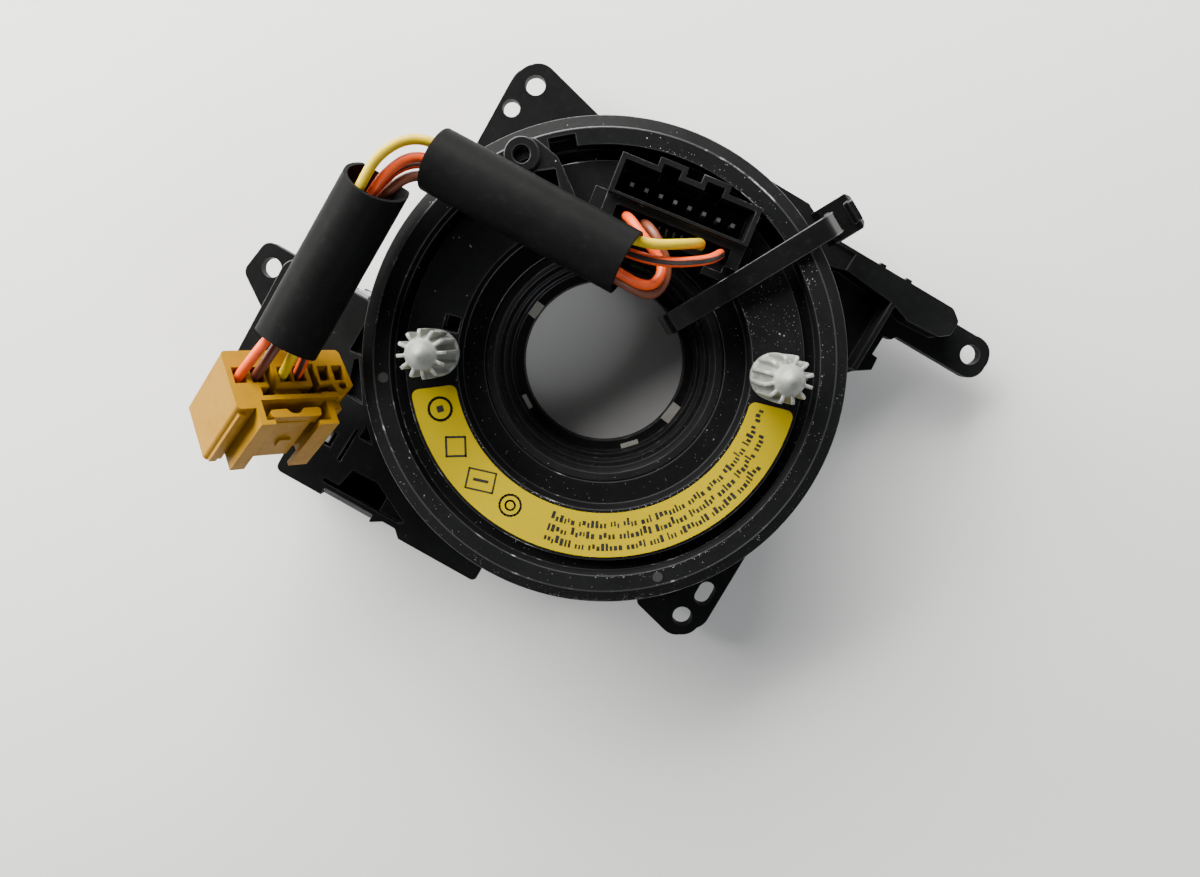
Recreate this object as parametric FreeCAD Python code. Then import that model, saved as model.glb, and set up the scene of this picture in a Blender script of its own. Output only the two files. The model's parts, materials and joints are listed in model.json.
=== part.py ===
import FreeCAD, Part
import math
import os

# Steering angle sensor with its contact unit, in millimetres.
# Origin: on the rotor axis, at the level of the rest face.
# +Z runs up the rotor axis to the steering wheel side, +X towards the long bracket arm.

V = FreeCAD.Vector
UP = V(0, 0, 1)

# Gears: one driving ring on the rotor and two measuring gears with unlike tooth counts
MODULE = 0.8
MAIN_TEETH = 56
GEAR_A_TEETH = 24
GEAR_B_TEETH = 26
GEAR_A_STEP = -24
GEAR_B_STEP = -17
BACKLASH = 0.16
PRESSURE = math.radians(20)
MAIN_TOOTH_T = 4.0
SMALL_T = 3.3
GEAR_LIFT = 0.3
POST_R = 2.0
POST_FIT = 0.05
GEAR_COLLAR_R = 3.6
MAGNET_WALL = 1.0
MAGNET_R = GEAR_COLLAR_R - MAGNET_WALL
MAGNET_T = 1.1
BULGE_CLEAR = 0.8

# Heights of the stator, from the rest face up
COVER_T = 2.0
COVER_GAP = 1.0
MAIN_Z0 = COVER_T + COVER_GAP
SMALL_Z0 = MAIN_Z0 + GEAR_LIFT
SENSE_GAP = 0.3
CHIP_T = 0.9
BOARD_BOTTOM = SMALL_Z0 + SMALL_T + MAGNET_T + SENSE_GAP + CHIP_T
BOARD_T = 1.6
BOARD_GAP = 0.5
DECK_BOTTOM = BOARD_BOTTOM + BOARD_T + BOARD_GAP
DECK_T = 1.8
DECK_TOP = DECK_BOTTOM + DECK_T
WING_TOP = DECK_TOP + 0.2
EAR_BOTTOM = 5.0
EAR_T = 2.5
EAR_TOP = EAR_BOTTOM + EAR_T

# Heights of the rotor, from the face that carries the label
FACE_TOP = 28.0
FACE_T = 3.0
FACE_UNDER = FACE_TOP - FACE_T
TURN_GAP = 1.0
DRUM_TOP = FACE_UNDER - TURN_GAP
SKIRT_OVERLAP = 1.5
SKIRT_BOTTOM = DRUM_TOP - SKIRT_OVERLAP
RIM_RISE = 2.0
RIM_TOP = FACE_TOP + RIM_RISE
RIM_BEVEL = 1.5
GROOVE_DEPTH = 1.7
GROOVE_FLOOR = FACE_TOP - GROOVE_DEPTH
SHELF_DROP = 5.8
SHELF_TOP = FACE_TOP - SHELF_DROP
SHELF_T = 1.5
GAP = 0.4
TUBE_BOTTOM = DECK_TOP + GAP

# Radii of the rotor disc and of the drum that it covers
DISC_R = 40.0
BEVEL_W = 2.2
RIM_W = 4.9
GROOVE_W = 2.1
FACE_W = 8.7
RIM_FLAT_R = DISC_R - BEVEL_W
RIM_IN_R = DISC_R - RIM_W
GROOVE_IN_R = RIM_IN_R - GROOVE_W
RECESS_R = GROOVE_IN_R - FACE_W
RECESS_WALL = 1.6
SKIRT_T = 0.9
SKIRT_GAP = 0.5
DRUM_R = DISC_R - SKIRT_T - SKIRT_GAP
DRUM_WALL = 2.0
DRUM_IN = DRUM_R - DRUM_WALL
WALL = 1.8

# Rotor hub, from the shaft bore outwards
BORE_R = 15.2
BORE_TOP = 4.0
LEDGES = [(BORE_R + 1.9, BORE_TOP), (BORE_R + 2.8, 9.0), (BORE_R + 3.8, 14.0)]
HUB_WALL = 1.4
HUB_R = LEDGES[-1][0] + HUB_WALL
HUB_FIT = 0.1
HUB_DROP = 0.8
HUB_TOP = SHELF_TOP - HUB_DROP
SLEEVE_IN_R = HUB_R + HUB_FIT
TUBE_WALL = 1.5
TUBE_R = SLEEVE_IN_R + TUBE_WALL
DECK_HOLE_R = TUBE_R + GAP
JOURNAL_WALL = 2.2
JOURNAL_R = BORE_R + JOURNAL_WALL
RUN_FIT = 0.06
GEAR_ROOT_R = MODULE * (MAIN_TEETH / 2 - 1.25)
GEAR_WALL = 1.8
GEAR_SEAT_R = GEAR_ROOT_R - GEAR_WALL
FLANGE_BOTTOM = DECK_BOTTOM + 0.2

# Pale snap clips standing on the bore's first ledge: angle, width, depth
CLIPS = [(173.0, 3.0, 1.6), (-7.6, 3.9, 1.75), (237.5, 2.9, 0.8), (-43.0, 3.4, 0.8)]
CLIP_H = 0.9

# Socket for the steering wheel's plug, turned about the rotor axis
SOCKET_TURN = 8.2
SOCKET_X = -2.0
SOCKET_OUT = 4.5
SOCKET_Y = RECESS_R + SOCKET_OUT
SOCKET_RISE = 3.5
SOCKET_RIM = FACE_TOP + SOCKET_RISE
CHAMBER_RIM = RIM_TOP
SOCKET_BOTTOM = SHELF_TOP - 1.6
SOCKET_FLOOR_T = 1.7
SOCKET_FLOOR = SOCKET_BOTTOM + SOCKET_FLOOR_T
SOCKET_WALL = 0.9
SOCKET_HALF = 12.0
SOCKET_V0 = -2.4
SOCKET_V1 = 3.6
CHAMBER_V = -6.9
BLOCK_TOP = FACE_TOP + 0.5
SLOT_V0 = -5.9
SLOT_V1 = -4.1
SLOT_HALF = 9.9
SLOT_FLOOR = FACE_TOP - 3.2
SLOT_LIP = FACE_TOP + 0.2
ENTRY_V = (SLOT_V0 + SLOT_V1) / 2
ENTRY_U = {"yellow": 5.2, "striped": 8.7, "orange": -8.3, "brown": -5.0}
PIN_PITCH = 2.54
PIN_SIDE = 0.64
PIN_TOP = SOCKET_RIM - 4.3
PIN_COUNT = 8
WINDOW_GAP = 0.15

# Drive pins
DRIVE_R = RECESS_R + 3.6
DRIVE_ANGLE = 26.0
DRIVE_TALL = 16.0
DRIVE_TOP = FACE_TOP + DRIVE_TALL
DRIVE_BASE_R = 3.95
DRIVE_FOOT_R = 3.55
DRIVE_CORE_R = 2.95
DRIVE_RIB_R = 3.9
DRIVE_RIB_T = 0.7
DRIVE_RIBS = 12
DRIVE_DOME = 1.6
DRIVE_TIP_R = 0.5
DRIVE_SHOULDER = 4.4
DRIVE_STUB_R = 2.0

# Yellow label
LABEL_MARGIN = 0.6
LABEL_R0 = RECESS_R + LABEL_MARGIN
LABEL_R1 = GROOVE_IN_R - LABEL_MARGIN
LABEL_FROM = -142.5
LABEL_TO = 16.0
LABEL_T = 0.15

# Ribbon cable, wound between the deck hole and the drum
RIBBON_T = 0.6
RIBBON_CLEAR = 1.2
RIBBON_W = SOCKET_BOTTOM - DECK_TOP - RIBBON_CLEAR
RIBBON_TURNS = 6
RIBBON_R0 = DECK_HOLE_R + 0.6
RIBBON_PITCH = (DRUM_IN - 0.1 - RIBBON_T - RIBBON_R0) / RIBBON_TURNS

# Cable tie
TIE_ANGLE = 61.5
TIE_W = 3.7
TIE_T = 1.1
TIE_HEAD = (6.2, 6.6, 5.4)

# Leads and sleeves
WIRE_R = 0.8
SLEEVE_R = 5.15
SLEEVE_WALL = 0.6

# Airbag plug: local X along its row of chambers, local Y towards the lock, local Z from entry to mating end
PLUG_AT = V(-43.65, -26.2, 31.9)
PLUG_LONG = V(0.625, 0.356, -0.695)
PLUG_DOWN = V(-0.228, -0.768, -0.598)
PLUG_L = 16.5
PLUG_LEFT = -10.3
PLUG_RIGHT = 10.4
PLUG_TOP = -3.9
PLUG_FLOOR = 5.2
PLUG_WAYS = {"orange": -8.4, "brown": -5.6, "yellow": -1.1, "striped": 1.4}
PLUG_SPARE = [5.9, 8.5]
PLUG_ROW = 0.6
CHAMBER_HALF = (1.0, 1.45)
TERMINAL_HALF = (0.72, 1.1)
WIRE_DEPTH = 4.0
WIRE_LEAD_IN = 2.0
LOCK_GAP = 1.5
LOCK_T = 1.7

# Vehicle socket in the wing
VSOCKET_X = -51.2
VSOCKET_Y = -22.3
VSOCKET_W = 11.0
VSOCKET_L = 17.4
VSOCKET_WALL = 1.2
VSOCKET_FLOOR = BOARD_BOTTOM - 1.3
VPIN_COUNT = 6
VPIN_BOTTOM = 4.5

# Mounting holes
HOLE_R = 1.8
PEG_HOLE_R = 1.55
TOP_HOLE = (-35.8, 37.0)
LOW_HOLE = (37.3, -34.7)
LEFT_HOLE = (-61.9, -15.7)
RIGHT_HOLE = (58.4, 35.2)
TOP_PEG = (-37.6, 31.3)
LOW_PEG = (38.8, -28.7)
PEG_SLOT = 1.6

# Cover screws
SCREW_AT = [(31.0, 8.0), (5.5, 31.5), (-26.0, 17.5), (19.0, -25.5), (-39.0, -42.5)]
SCREW_R = 1.1
SCREW_HEAD_R = 2.2
SCREW_HEAD_T = 1.3
SCREW_L = 8.0
BOSS_R = 2.6


def rot(shape, degrees, axis=UP):
    return shape.rotate(V(0, 0, 0), axis, degrees)


def cyl(r, z0, z1, x=0.0, y=0.0):
    return Part.makeCylinder(r, z1 - z0, V(x, y, z0))


def ring(r_out, r_in, z0, z1):
    return cyl(r_out, z0, z1).cut(cyl(r_in, z0 - 1, z1 + 1))


def box(x0, x1, y0, y1, z0, z1):
    return Part.makeBox(x1 - x0, y1 - y0, z1 - z0, V(x0, y0, z0))


def lathe(points):
    """Solid turned about the rotor axis from an outline of (radius, height) points."""
    wire = Part.makePolygon([V(r, 0, z) for r, z in points] + [V(points[0][0], 0, points[0][1])])
    return Part.Face(wire).revolve(V(0, 0, 0), UP, 360)


def outline(corners):
    """Closed wire through (x, y, corner radius) points, with round corners as arcs."""
    n = len(corners)
    cut = []
    for i in range(n):
        x, y, r = corners[i]
        here = V(x, y, 0)
        before = (V(corners[i - 1][0], corners[i - 1][1], 0) - here).normalize()
        after = (V(corners[(i + 1) % n][0], corners[(i + 1) % n][1], 0) - here).normalize()
        if r == 0:
            cut.append((here, here, here))
            continue
        half = before.getAngle(after) / 2
        back = r / math.tan(half)
        mid = (before + after).normalize() * (r / math.sin(half) - r)
        cut.append((here + before * back, here + mid, here + after * back))
    edges = []
    for i in range(n):
        a, m, b = cut[i]
        if a.distanceToPoint(b) > 1e-6:
            edges.append(Part.Arc(a, m, b).toShape())
        nxt = cut[(i + 1) % n][0]
        if b.distanceToPoint(nxt) > 1e-6:
            edges.append(Part.makeLine(b, nxt))
    return Part.Wire(edges)


def prism(corners, z0, z1):
    wire = outline([c if len(c) == 3 else (c[0], c[1], 0) for c in corners])
    wire.translate(V(0, 0, z0))
    return Part.Face(wire).extrude(V(0, 0, z1 - z0))


def join(shapes):
    body = shapes[0]
    for s in shapes[1:]:
        body = body.fuse(s)
    return body.removeSplitter()


def save(name, shape):
    solids = shape.Solids
    out = solids[0] if len(solids) == 1 else Part.makeCompound(solids)
    out.exportStep("parts/" + name + ".step")
    good = all(s.isValid() for s in solids)
    print(name, "solids", len(solids), "valid", good, "volume", round(shape.Volume, 1))


def gear_angle(step):
    return step * 360.0 / MAIN_TEETH


def gear_centre(step, teeth):
    reach = MODULE * (MAIN_TEETH + teeth) / 2
    a = math.radians(gear_angle(step))
    return reach * math.cos(a), reach * math.sin(a)


def tip_radius(teeth):
    return MODULE * (teeth / 2 + 1)


GEARS = {
    "a": (GEAR_A_STEP, GEAR_A_TEETH),
    "b": (GEAR_B_STEP, GEAR_B_TEETH),
}


def involute(angle):
    return math.tan(angle) - angle


def gear_wire(teeth, tooth_at):
    """Involute outline with one tooth centred on the angle tooth_at, in degrees."""
    pitch_r = MODULE * teeth / 2
    base_r = pitch_r * math.cos(PRESSURE)
    root_r = pitch_r - 1.25 * MODULE
    tip_r = tip_radius(teeth)
    start_r = max(root_r, base_r)
    thick = (math.pi * MODULE / 2 - BACKLASH) / 2 / pitch_r + involute(PRESSURE)

    def at(r, a):
        return V(r * math.cos(a), r * math.sin(a), 0)

    def half(r):
        return thick - involute(math.acos(min(1.0, base_r / r)))

    step = 2 * math.pi / teeth
    first = math.radians(tooth_at)
    edges = []
    for i in range(teeth):
        c = first + i * step
        h0 = half(start_r)
        if start_r > root_r:
            edges.append(Part.makeLine(at(root_r, c - h0), at(start_r, c - h0)))
        edges.append(Part.Arc(at(start_r, c - h0), at(pitch_r, c - half(pitch_r)),
                              at(tip_r, c - half(tip_r))).toShape())
        edges.append(Part.Arc(at(tip_r, c - half(tip_r)), at(tip_r, c), at(tip_r, c + half(tip_r))).toShape())
        edges.append(Part.Arc(at(tip_r, c + half(tip_r)), at(pitch_r, c + half(pitch_r)),
                              at(start_r, c + h0)).toShape())
        if start_r > root_r:
            edges.append(Part.makeLine(at(start_r, c + h0), at(root_r, c + h0)))
        edges.append(Part.Arc(at(root_r, c + h0), at(root_r, c + step / 2), at(root_r, c + step - h0)).toShape())
    return Part.Wire(edges)


def gear_disc(teeth, tooth_at, z0, thickness):
    wire = gear_wire(teeth, tooth_at)
    wire.translate(V(0, 0, z0))
    return Part.Face(wire).extrude(V(0, 0, thickness))


# Outlines shared by the housing and its bottom cover
WING = [(-58.5, -11.6, 2.5), (-58.5, -33.0, 2.0), (-46.0, -37.5, 1.0), (-42.5, -41.5, 1.0), (-42.5, -47.0, 1.2),
        (-22.7, -47.0, 0), (-20.8, -45.8, 0), (-18.2, -45.8, 0), (-16.8, -47.2, 0), (-0.6, -47.2, 1.0),
        (-0.6, -34.0, 0), (-28.0, -11.6, 0)]


def shrink(corners, by):
    """The same outline moved inwards by a wall thickness."""
    return outline(corners).makeOffset2D(-by, 2, False, False)


def lower_outline(inset, z0, z1):
    """Drum, wing and gear bulges together, moved inwards by inset."""
    wing = shrink(WING, inset) if inset else outline(WING)
    wing.translate(V(0, 0, z0))
    parts = [cyl(DRUM_R - (inset and DRUM_WALL), z0, z1), Part.Face(wing).extrude(V(0, 0, z1 - z0))]
    for step, teeth in GEARS.values():
        x, y = gear_centre(step, teeth)
        parts.append(cyl(tip_radius(teeth) + BULGE_CLEAR + (0 if inset else WALL), z0, z1, x, y))
    return join(parts)


def ear(corners, holes):
    body = prism(corners, EAR_BOTTOM, EAR_TOP)
    for (x, y), r in holes:
        body = body.fuse(cyl(r + 1.9, EAR_BOTTOM, EAR_TOP + 0.6, x, y))
    return body


def ears():
    top = ear([(-40.0, 18.0, 0), (-40.0, 37.2, 3.6), (-37.0, 41.6, 3.6), (-22.0, 37.9, 0), (-15.0, 30.0, 0),
               (-30.0, 15.0, 0)], [(TOP_HOLE, HOLE_R)])
    low = ear([(24.0, -30.0, 0), (28.6, -36.9, 1.0), (38.0, -39.4, 3.6), (41.9, -34.0, 3.6), (41.9, -18.0, 0),
               (30.0, -12.0, 0)], [(LOW_HOLE, HOLE_R)])
    left = ear([(-50.0, -11.6, 0), (-65.0, -11.6, 2.0), (-66.2, -18.8, 2.0), (-58.3, -24.5, 0), (-50.0, -24.5, 0)],
               [(LEFT_HOLE, HOLE_R)])
    right = ear([(20.0, 20.0, 0), (20.0, 38.8, 0), (61.6, 38.8, 3.0), (62.4, 31.1, 3.0), (44.8, 31.1, 0),
                 (44.2, 30.2, 0), (42.7, 30.0, 0), (42.6, 26.2, 0), (43.8, 26.1, 0), (44.0, 23.6, 0),
                 (41.0, 21.6, 0), (30.0, 10.0, 0)], [(RIGHT_HOLE, HOLE_R)])
    return join([top, low, left, right])


ARM = [(16.0, 34.3, 0), (16.0, 39.8, 0), (49.6, 39.8, 1.6), (51.7, 38.2, 1.0), (51.7, 35.4, 1.0),
       (50.0, 34.1, 1.0), (43.4, 33.7, 2.5), (39.6, 35.0, 1.5), (29.2, 35.9, 0), (27.2, 35.3, 0)]
ARM_RIDGES = (34.0, 39.4)


def arm():
    """Upper bracket arm: a channel open below, with a stepped root, two ridges and a cross rib."""
    beam = prism(ARM, EAR_BOTTOM, WING_TOP)
    hollow = prism([(18.0, 36.5, 0), (18.0, 38.2, 0), (49.6, 38.2, 0), (49.6, 36.5, 0)], EAR_TOP, WING_TOP - WALL)
    root = box(22.0, 29.3, 33.0, 39.2, WING_TOP - 0.5, WING_TOP + 1)
    rib = box(39.2, 40.2, 21.4, 36.0, EAR_BOTTOM, WING_TOP)
    flange = prism([(9.2, 36.0, 0), (9.2, 42.6, 0.6), (17.4, 42.6, 0), (20.2, 41.2, 0), (22.0, 36.0, 0)],
                   EAR_BOTTOM, WING_TOP)
    ridges = [box(x, x + 1.2, 39.5, 40.25, WING_TOP - 3.0, WING_TOP) for x in ARM_RIDGES]
    return join([beam.cut(hollow).cut(root), rib, flange] + ridges)


def screw_bosses():
    return [cyl(BOSS_R, COVER_T, DECK_BOTTOM + 0.5, x, y) for x, y in SCREW_AT]


def stator_housing():
    shell = lower_outline(0, COVER_T, WING_TOP)
    shell = shell.cut(lower_outline(WALL, COVER_T - 1, DECK_BOTTOM))
    drum = ring(DRUM_R, DRUM_IN, DECK_BOTTOM, DRUM_TOP)
    body = join([shell, drum, ears(), arm()] + screw_bosses())
    body = body.cut(cyl(DRUM_IN, DECK_TOP, DRUM_TOP + 1))
    body = body.cut(cyl(DECK_HOLE_R, 0, DRUM_TOP))
    body = body.cut(lower_outline(WALL, COVER_T - 1, DECK_BOTTOM).cut(join(screw_bosses())))
    for (x, y), r in ((TOP_HOLE, HOLE_R), (LOW_HOLE, HOLE_R), (LEFT_HOLE, HOLE_R), (RIGHT_HOLE, HOLE_R),
                      (TOP_PEG, PEG_HOLE_R)):
        body = body.cut(cyl(r, EAR_BOTTOM - 1, EAR_TOP + 2, x, y))
    slot = join([cyl(PEG_HOLE_R, EAR_BOTTOM - 1, EAR_TOP + 1, LOW_PEG[0], LOW_PEG[1] + d)
                 for d in (-PEG_SLOT / 2, PEG_SLOT / 2)]
                + [box(LOW_PEG[0] - PEG_HOLE_R, LOW_PEG[0] + PEG_HOLE_R, LOW_PEG[1] - PEG_SLOT / 2,
                       LOW_PEG[1] + PEG_SLOT / 2, EAR_BOTTOM - 1, EAR_TOP + 1)])
    body = body.cut(slot)
    for x, y in SCREW_AT:
        body = body.cut(cyl(SCREW_R + 0.03, COVER_T - 1, SCREW_L + 0.5, x, y))
    body = join([body, well(WELL_WALL, WELL_FLOOR - WELL_WALL, DECK_BOTTOM + 0.5)])
    body = body.cut(wing_pockets())
    body = body.cut(latch_window())
    return body.removeSplitter()


WELL = [(-34.0, -44.6, 0), (-34.0, -43.9, 0), (-30.9, -43.9, 0), (-30.0, -40.1, 0), (-25.1, -39.9, 0),
        (-22.4, -41.3, 0), (-22.4, -44.6, 0)]
WELL_FLOOR = 4.4
WELL_WALL = 1.0


def well(grow, z0, z1):
    """The deep pocket beside the drum, larger by a wall where grow says so."""
    wire = shrink(WELL, -grow) if grow else outline(WELL)
    wire.translate(V(0, 0, z0))
    return Part.Face(wire).extrude(V(0, 0, z1 - z0))


def wing_pockets():
    """Shallow moulding pockets in the wing's top, the deep well and the sloped edge beside it."""
    top = WING_TOP + 1
    step = prism([(-22.6, -41.2, 0), (-17.3, -44.0, 0), (-18.2, -44.6, 0), (-22.6, -44.6, 0)], WING_TOP - 1.5, top)
    pockets = [[(-40.8, -14.8, 0), (-37.8, -20.8, 0), (-40.9, -21.1, 0)],
               [(-39.4, -22.2, 0), (-38.9, -21.5, 0), (-34.3, -28.6, 0), (-37.6, -28.4, 0)],
               [(-31.9, -34.2, 0), (-31.8, -31.6, 0), (-29.2, -34.2, 0)],
               [(-33.5, -39.8, 0), (-32.8, -39.8, 0), (-32.6, -33.0, 0), (-33.1, -33.0, 0)]]
    shallow = [prism(p, WING_TOP - 1.4, top) for p in pockets]
    slope = Part.Face(Part.makePolygon([V(-33.0, -45.5, WING_TOP + 0.1), V(-33.0, -47.5, WING_TOP - 3.4),
                                        V(-33.0, -47.5, WING_TOP + 0.1), V(-33.0, -45.5, WING_TOP + 0.1)]))
    return join([well(0, WELL_FLOOR, top), step, slope.extrude(V(10.0, 0, 0))] + shallow)


LATCH_AT = (-37.9, -37.0)
LATCH_SIZE = (2.9, 1.9)
EDGE_LATCH = (-45.4, -42.6)
WING_EDGE = -11.6


def latch_window():
    x, y = LATCH_AT
    w, t = LATCH_SIZE
    return box(x - w / 2 - 0.8, x + w / 2 + 0.8, y - t / 2 - 0.5, y + t / 2 + 0.5, DECK_BOTTOM - 1, WING_TOP + 1)


def cover_latch():
    """Light snap hooks of the cover: one in its window in the wing, one outside the wing's straight edge."""
    x, y = LATCH_AT
    w, t = LATCH_SIZE
    post = box(x - w / 2, x + w / 2, y - t / 2, y, COVER_T, WING_TOP - 0.4)
    hook = Part.Face(Part.makePolygon([V(x - w / 2, y, WING_TOP - 0.4), V(x - w / 2, y + t / 2, WING_TOP - 1.6),
                                       V(x - w / 2, y, WING_TOP - 2.1), V(x - w / 2, y, WING_TOP - 0.4)]))
    x0, x1 = EDGE_LATCH
    edge = box(x0, x1, WING_EDGE + 0.1, WING_EDGE + 0.7, COVER_T, WING_TOP - 0.4)
    return Part.makeCompound([join([post, hook.extrude(V(w, 0, 0))]), edge])


def base_cover():
    plate = lower_outline(0, 0, COVER_T)
    plate = plate.cut(cyl(JOURNAL_R + RUN_FIT, -1, COVER_T + 1))
    collar = ring(JOURNAL_R + RUN_FIT + 1.6, JOURNAL_R + RUN_FIT, COVER_T - 0.5, COVER_T + 0.6)
    tab = box(EDGE_LATCH[0] - 1, EDGE_LATCH[1] + 1, WING_EDGE - 1, WING_EDGE + 0.7, 0, COVER_T)
    body = join([plate, collar, tab])
    gap = WINDOW_GAP
    body = body.cut(box(VSOCKET_X - VSOCKET_W / 2 - gap, VSOCKET_X + VSOCKET_W / 2 + gap,
                        VSOCKET_Y - VSOCKET_L / 2 - gap, VSOCKET_Y + VSOCKET_L / 2 + gap, -1, COVER_T + 1))
    for x, y in SCREW_AT:
        body = body.cut(cyl(SCREW_R + 0.1, -1, COVER_T + 1, x, y))
        body = body.cut(cyl(SCREW_HEAD_R + 0.2, -1, SCREW_HEAD_T + 0.3, x, y))
    for step, teeth in GEARS.values():
        x, y = gear_centre(step, teeth)
        post = cyl(POST_R, COVER_T - 0.5, SMALL_Z0 + SMALL_T - 1.0, x, y)
        body = body.fuse(post)
    return body.removeSplitter()


def base_screws():
    screws = []
    for x, y in SCREW_AT:
        head = cyl(SCREW_HEAD_R, 0.3, 0.3 + SCREW_HEAD_T, x, y)
        drive = cyl(0.9, 0.2, 0.3 + 0.7, x, y)
        shank = cyl(SCREW_R, 0.3 + SCREW_HEAD_T - 0.1, SCREW_L, x, y)
        screws.append(join([head, shank]).cut(drive))
    return Part.makeCompound(screws)


def small_gear(key):
    step, teeth = GEARS[key]
    x, y = gear_centre(step, teeth)
    facing = gear_angle(step) + 180.0 + 180.0 / teeth
    top = SMALL_Z0 + SMALL_T
    disc = gear_disc(teeth, facing, SMALL_Z0, SMALL_T)
    collar = cyl(GEAR_COLLAR_R, COVER_T + 0.3, top + MAGNET_T)
    body = join([disc, collar])
    body = body.cut(cyl(POST_R + POST_FIT, COVER_T, top - 0.9))
    body = body.cut(cyl(MAGNET_R, top, top + MAGNET_T + 1))
    body.translate(V(x, y, 0))
    return body


def magnet(key):
    step, teeth = GEARS[key]
    x, y = gear_centre(step, teeth)
    top = SMALL_Z0 + SMALL_T
    return cyl(MAGNET_R, top, top + MAGNET_T, x, y)


def main_gear():
    teeth = gear_disc(MAIN_TEETH, 0.0, MAIN_Z0, MAIN_TOOTH_T)
    neck = cyl(GEAR_ROOT_R - 0.4, MAIN_Z0, FLANGE_BOTTOM)
    return join([teeth, neck]).cut(cyl(GEAR_SEAT_R, 0, DECK_TOP))


def circuit_board():
    body = prism([(-57.0, -13.4, 1.0), (-57.0, -31.5, 1.0), (-45.0, -35.5, 1.0), (-30.0, -35.5, 0),
                  (-16.0, -44.0, 1.0), (-3.0, -42.0, 1.0), (-3.0, -34.6, 0), (0.0, -24.0, 0), (-24.0, 0.0, 0),
                  (-32.0, -10.0, 0)],
                 BOARD_BOTTOM, BOARD_BOTTOM + BOARD_T)
    body = body.cut(cyl(DECK_HOLE_R + 2.0, 0, DECK_TOP)).cut(well(WELL_WALL + 0.5, 0, DECK_TOP))
    body = body.common(lower_outline(WALL + 0.1, 0, DECK_BOTTOM))
    return body.removeSplitter()


def sensor_chips():
    chips = []
    for step, teeth in GEARS.values():
        x, y = gear_centre(step, teeth)
        chips.append(box(x - 2.5, x + 2.5, y - 2.0, y + 2.0, BOARD_BOTTOM - CHIP_T, BOARD_BOTTOM))
    chips.append(box(-41.0, -34.0, -31.0, -24.0, BOARD_BOTTOM - 1.2, BOARD_BOTTOM))
    return Part.makeCompound(chips)


def vehicle_pins():
    pins = []
    first = VSOCKET_Y - PIN_PITCH * (VPIN_COUNT - 1) / 2
    half = PIN_SIDE / 2
    for i in range(VPIN_COUNT):
        y = first + i * PIN_PITCH
        pins.append(box(VSOCKET_X - half, VSOCKET_X + half, y - half, y + half, VPIN_BOTTOM, BOARD_BOTTOM))
    return Part.makeCompound(pins)


def vehicle_socket():
    x, y, w, l, t = VSOCKET_X, VSOCKET_Y, VSOCKET_W / 2, VSOCKET_L / 2, VSOCKET_WALL
    shell = prism([(x - w, y - l, 1.0), (x + w, y - l, 1.0), (x + w, y + l, 1.0), (x - w, y + l, 1.0)],
                  0.3, BOARD_BOTTOM)
    shell = shell.cut(box(x - w + t, x + w - t, y - l + t, y + l - t, -1, VSOCKET_FLOOR))
    key = box(x - 1.2, x + 1.2, y - l + t, y - l + t + 0.9, 0.3, VSOCKET_FLOOR)
    shell = join([shell, key])
    return shell.cut(vehicle_pins())


def ribbon_cable():
    """Flat cable wound as a spiral of half circles, each wider than the last."""
    half_pitch = RIBBON_PITCH / 2

    def spiral(grow):
        edges = []
        x = RIBBON_R0 + grow
        side = 1
        for i in range(2 * RIBBON_TURNS):
            r = RIBBON_R0 + grow + half_pitch * i + half_pitch / 2
            centre = x - side * r
            edges.append(Part.Arc(V(x, 0, 0), V(centre, side * r, 0), V(centre - side * r, 0, 0)).toShape())
            x = centre - side * r
            side = -side
        return edges, x

    inner, xi = spiral(0.0)
    outer, xo = spiral(RIBBON_T)
    ends = [Part.makeLine(V(RIBBON_R0, 0, 0), V(RIBBON_R0 + RIBBON_T, 0, 0)),
            Part.makeLine(V(xi, 0, 0), V(xo, 0, 0))]
    wire = Part.Wire(Part.__sortEdges__(inner + outer + ends))
    wire.translate(V(0, 0, DECK_TOP))
    return Part.Face(wire).extrude(V(0, 0, RIBBON_W))


def socket_place(shape):
    shape = shape.rotate(V(0, 0, 0), UP, SOCKET_TURN)
    shape.translate(V(SOCKET_X, SOCKET_Y, 0))
    return shape


KEY_BUMPS = [(-6.1, -1.3), (1.3, 6.1)]
BUMP_OUT = 1.5
FOOT = [(-14.2, -11.9, -6.3, -2.5), (11.9, 13.2, -5.3, -2.6)]


def socket_body(grow=0.0, z0=SOCKET_BOTTOM):
    """Outside of the socket block, in its own axes: the plug part and the lead chamber below it."""
    g = grow
    upper = box(-SOCKET_HALF - g, SOCKET_HALF + g, SOCKET_V0 - 0.5 - g, SOCKET_V1 + g, z0, SOCKET_RIM)
    parts = [upper]
    for u0, u1 in KEY_BUMPS:
        parts.append(box(u0 - g, u1 + g, SOCKET_V1 - 1, SOCKET_V1 + BUMP_OUT + g, z0, SOCKET_RIM))
    parts.append(box(-SOCKET_HALF - g, SOCKET_HALF + g, CHAMBER_V - g, SOCKET_V0 + g, SHELF_TOP, CHAMBER_RIM))
    parts.append(box(6.8 - g, SOCKET_HALF - 0.6 + g, -9.2 - g, CHAMBER_V + 1 + g, SHELF_TOP, BLOCK_TOP))
    return join(parts)


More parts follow.
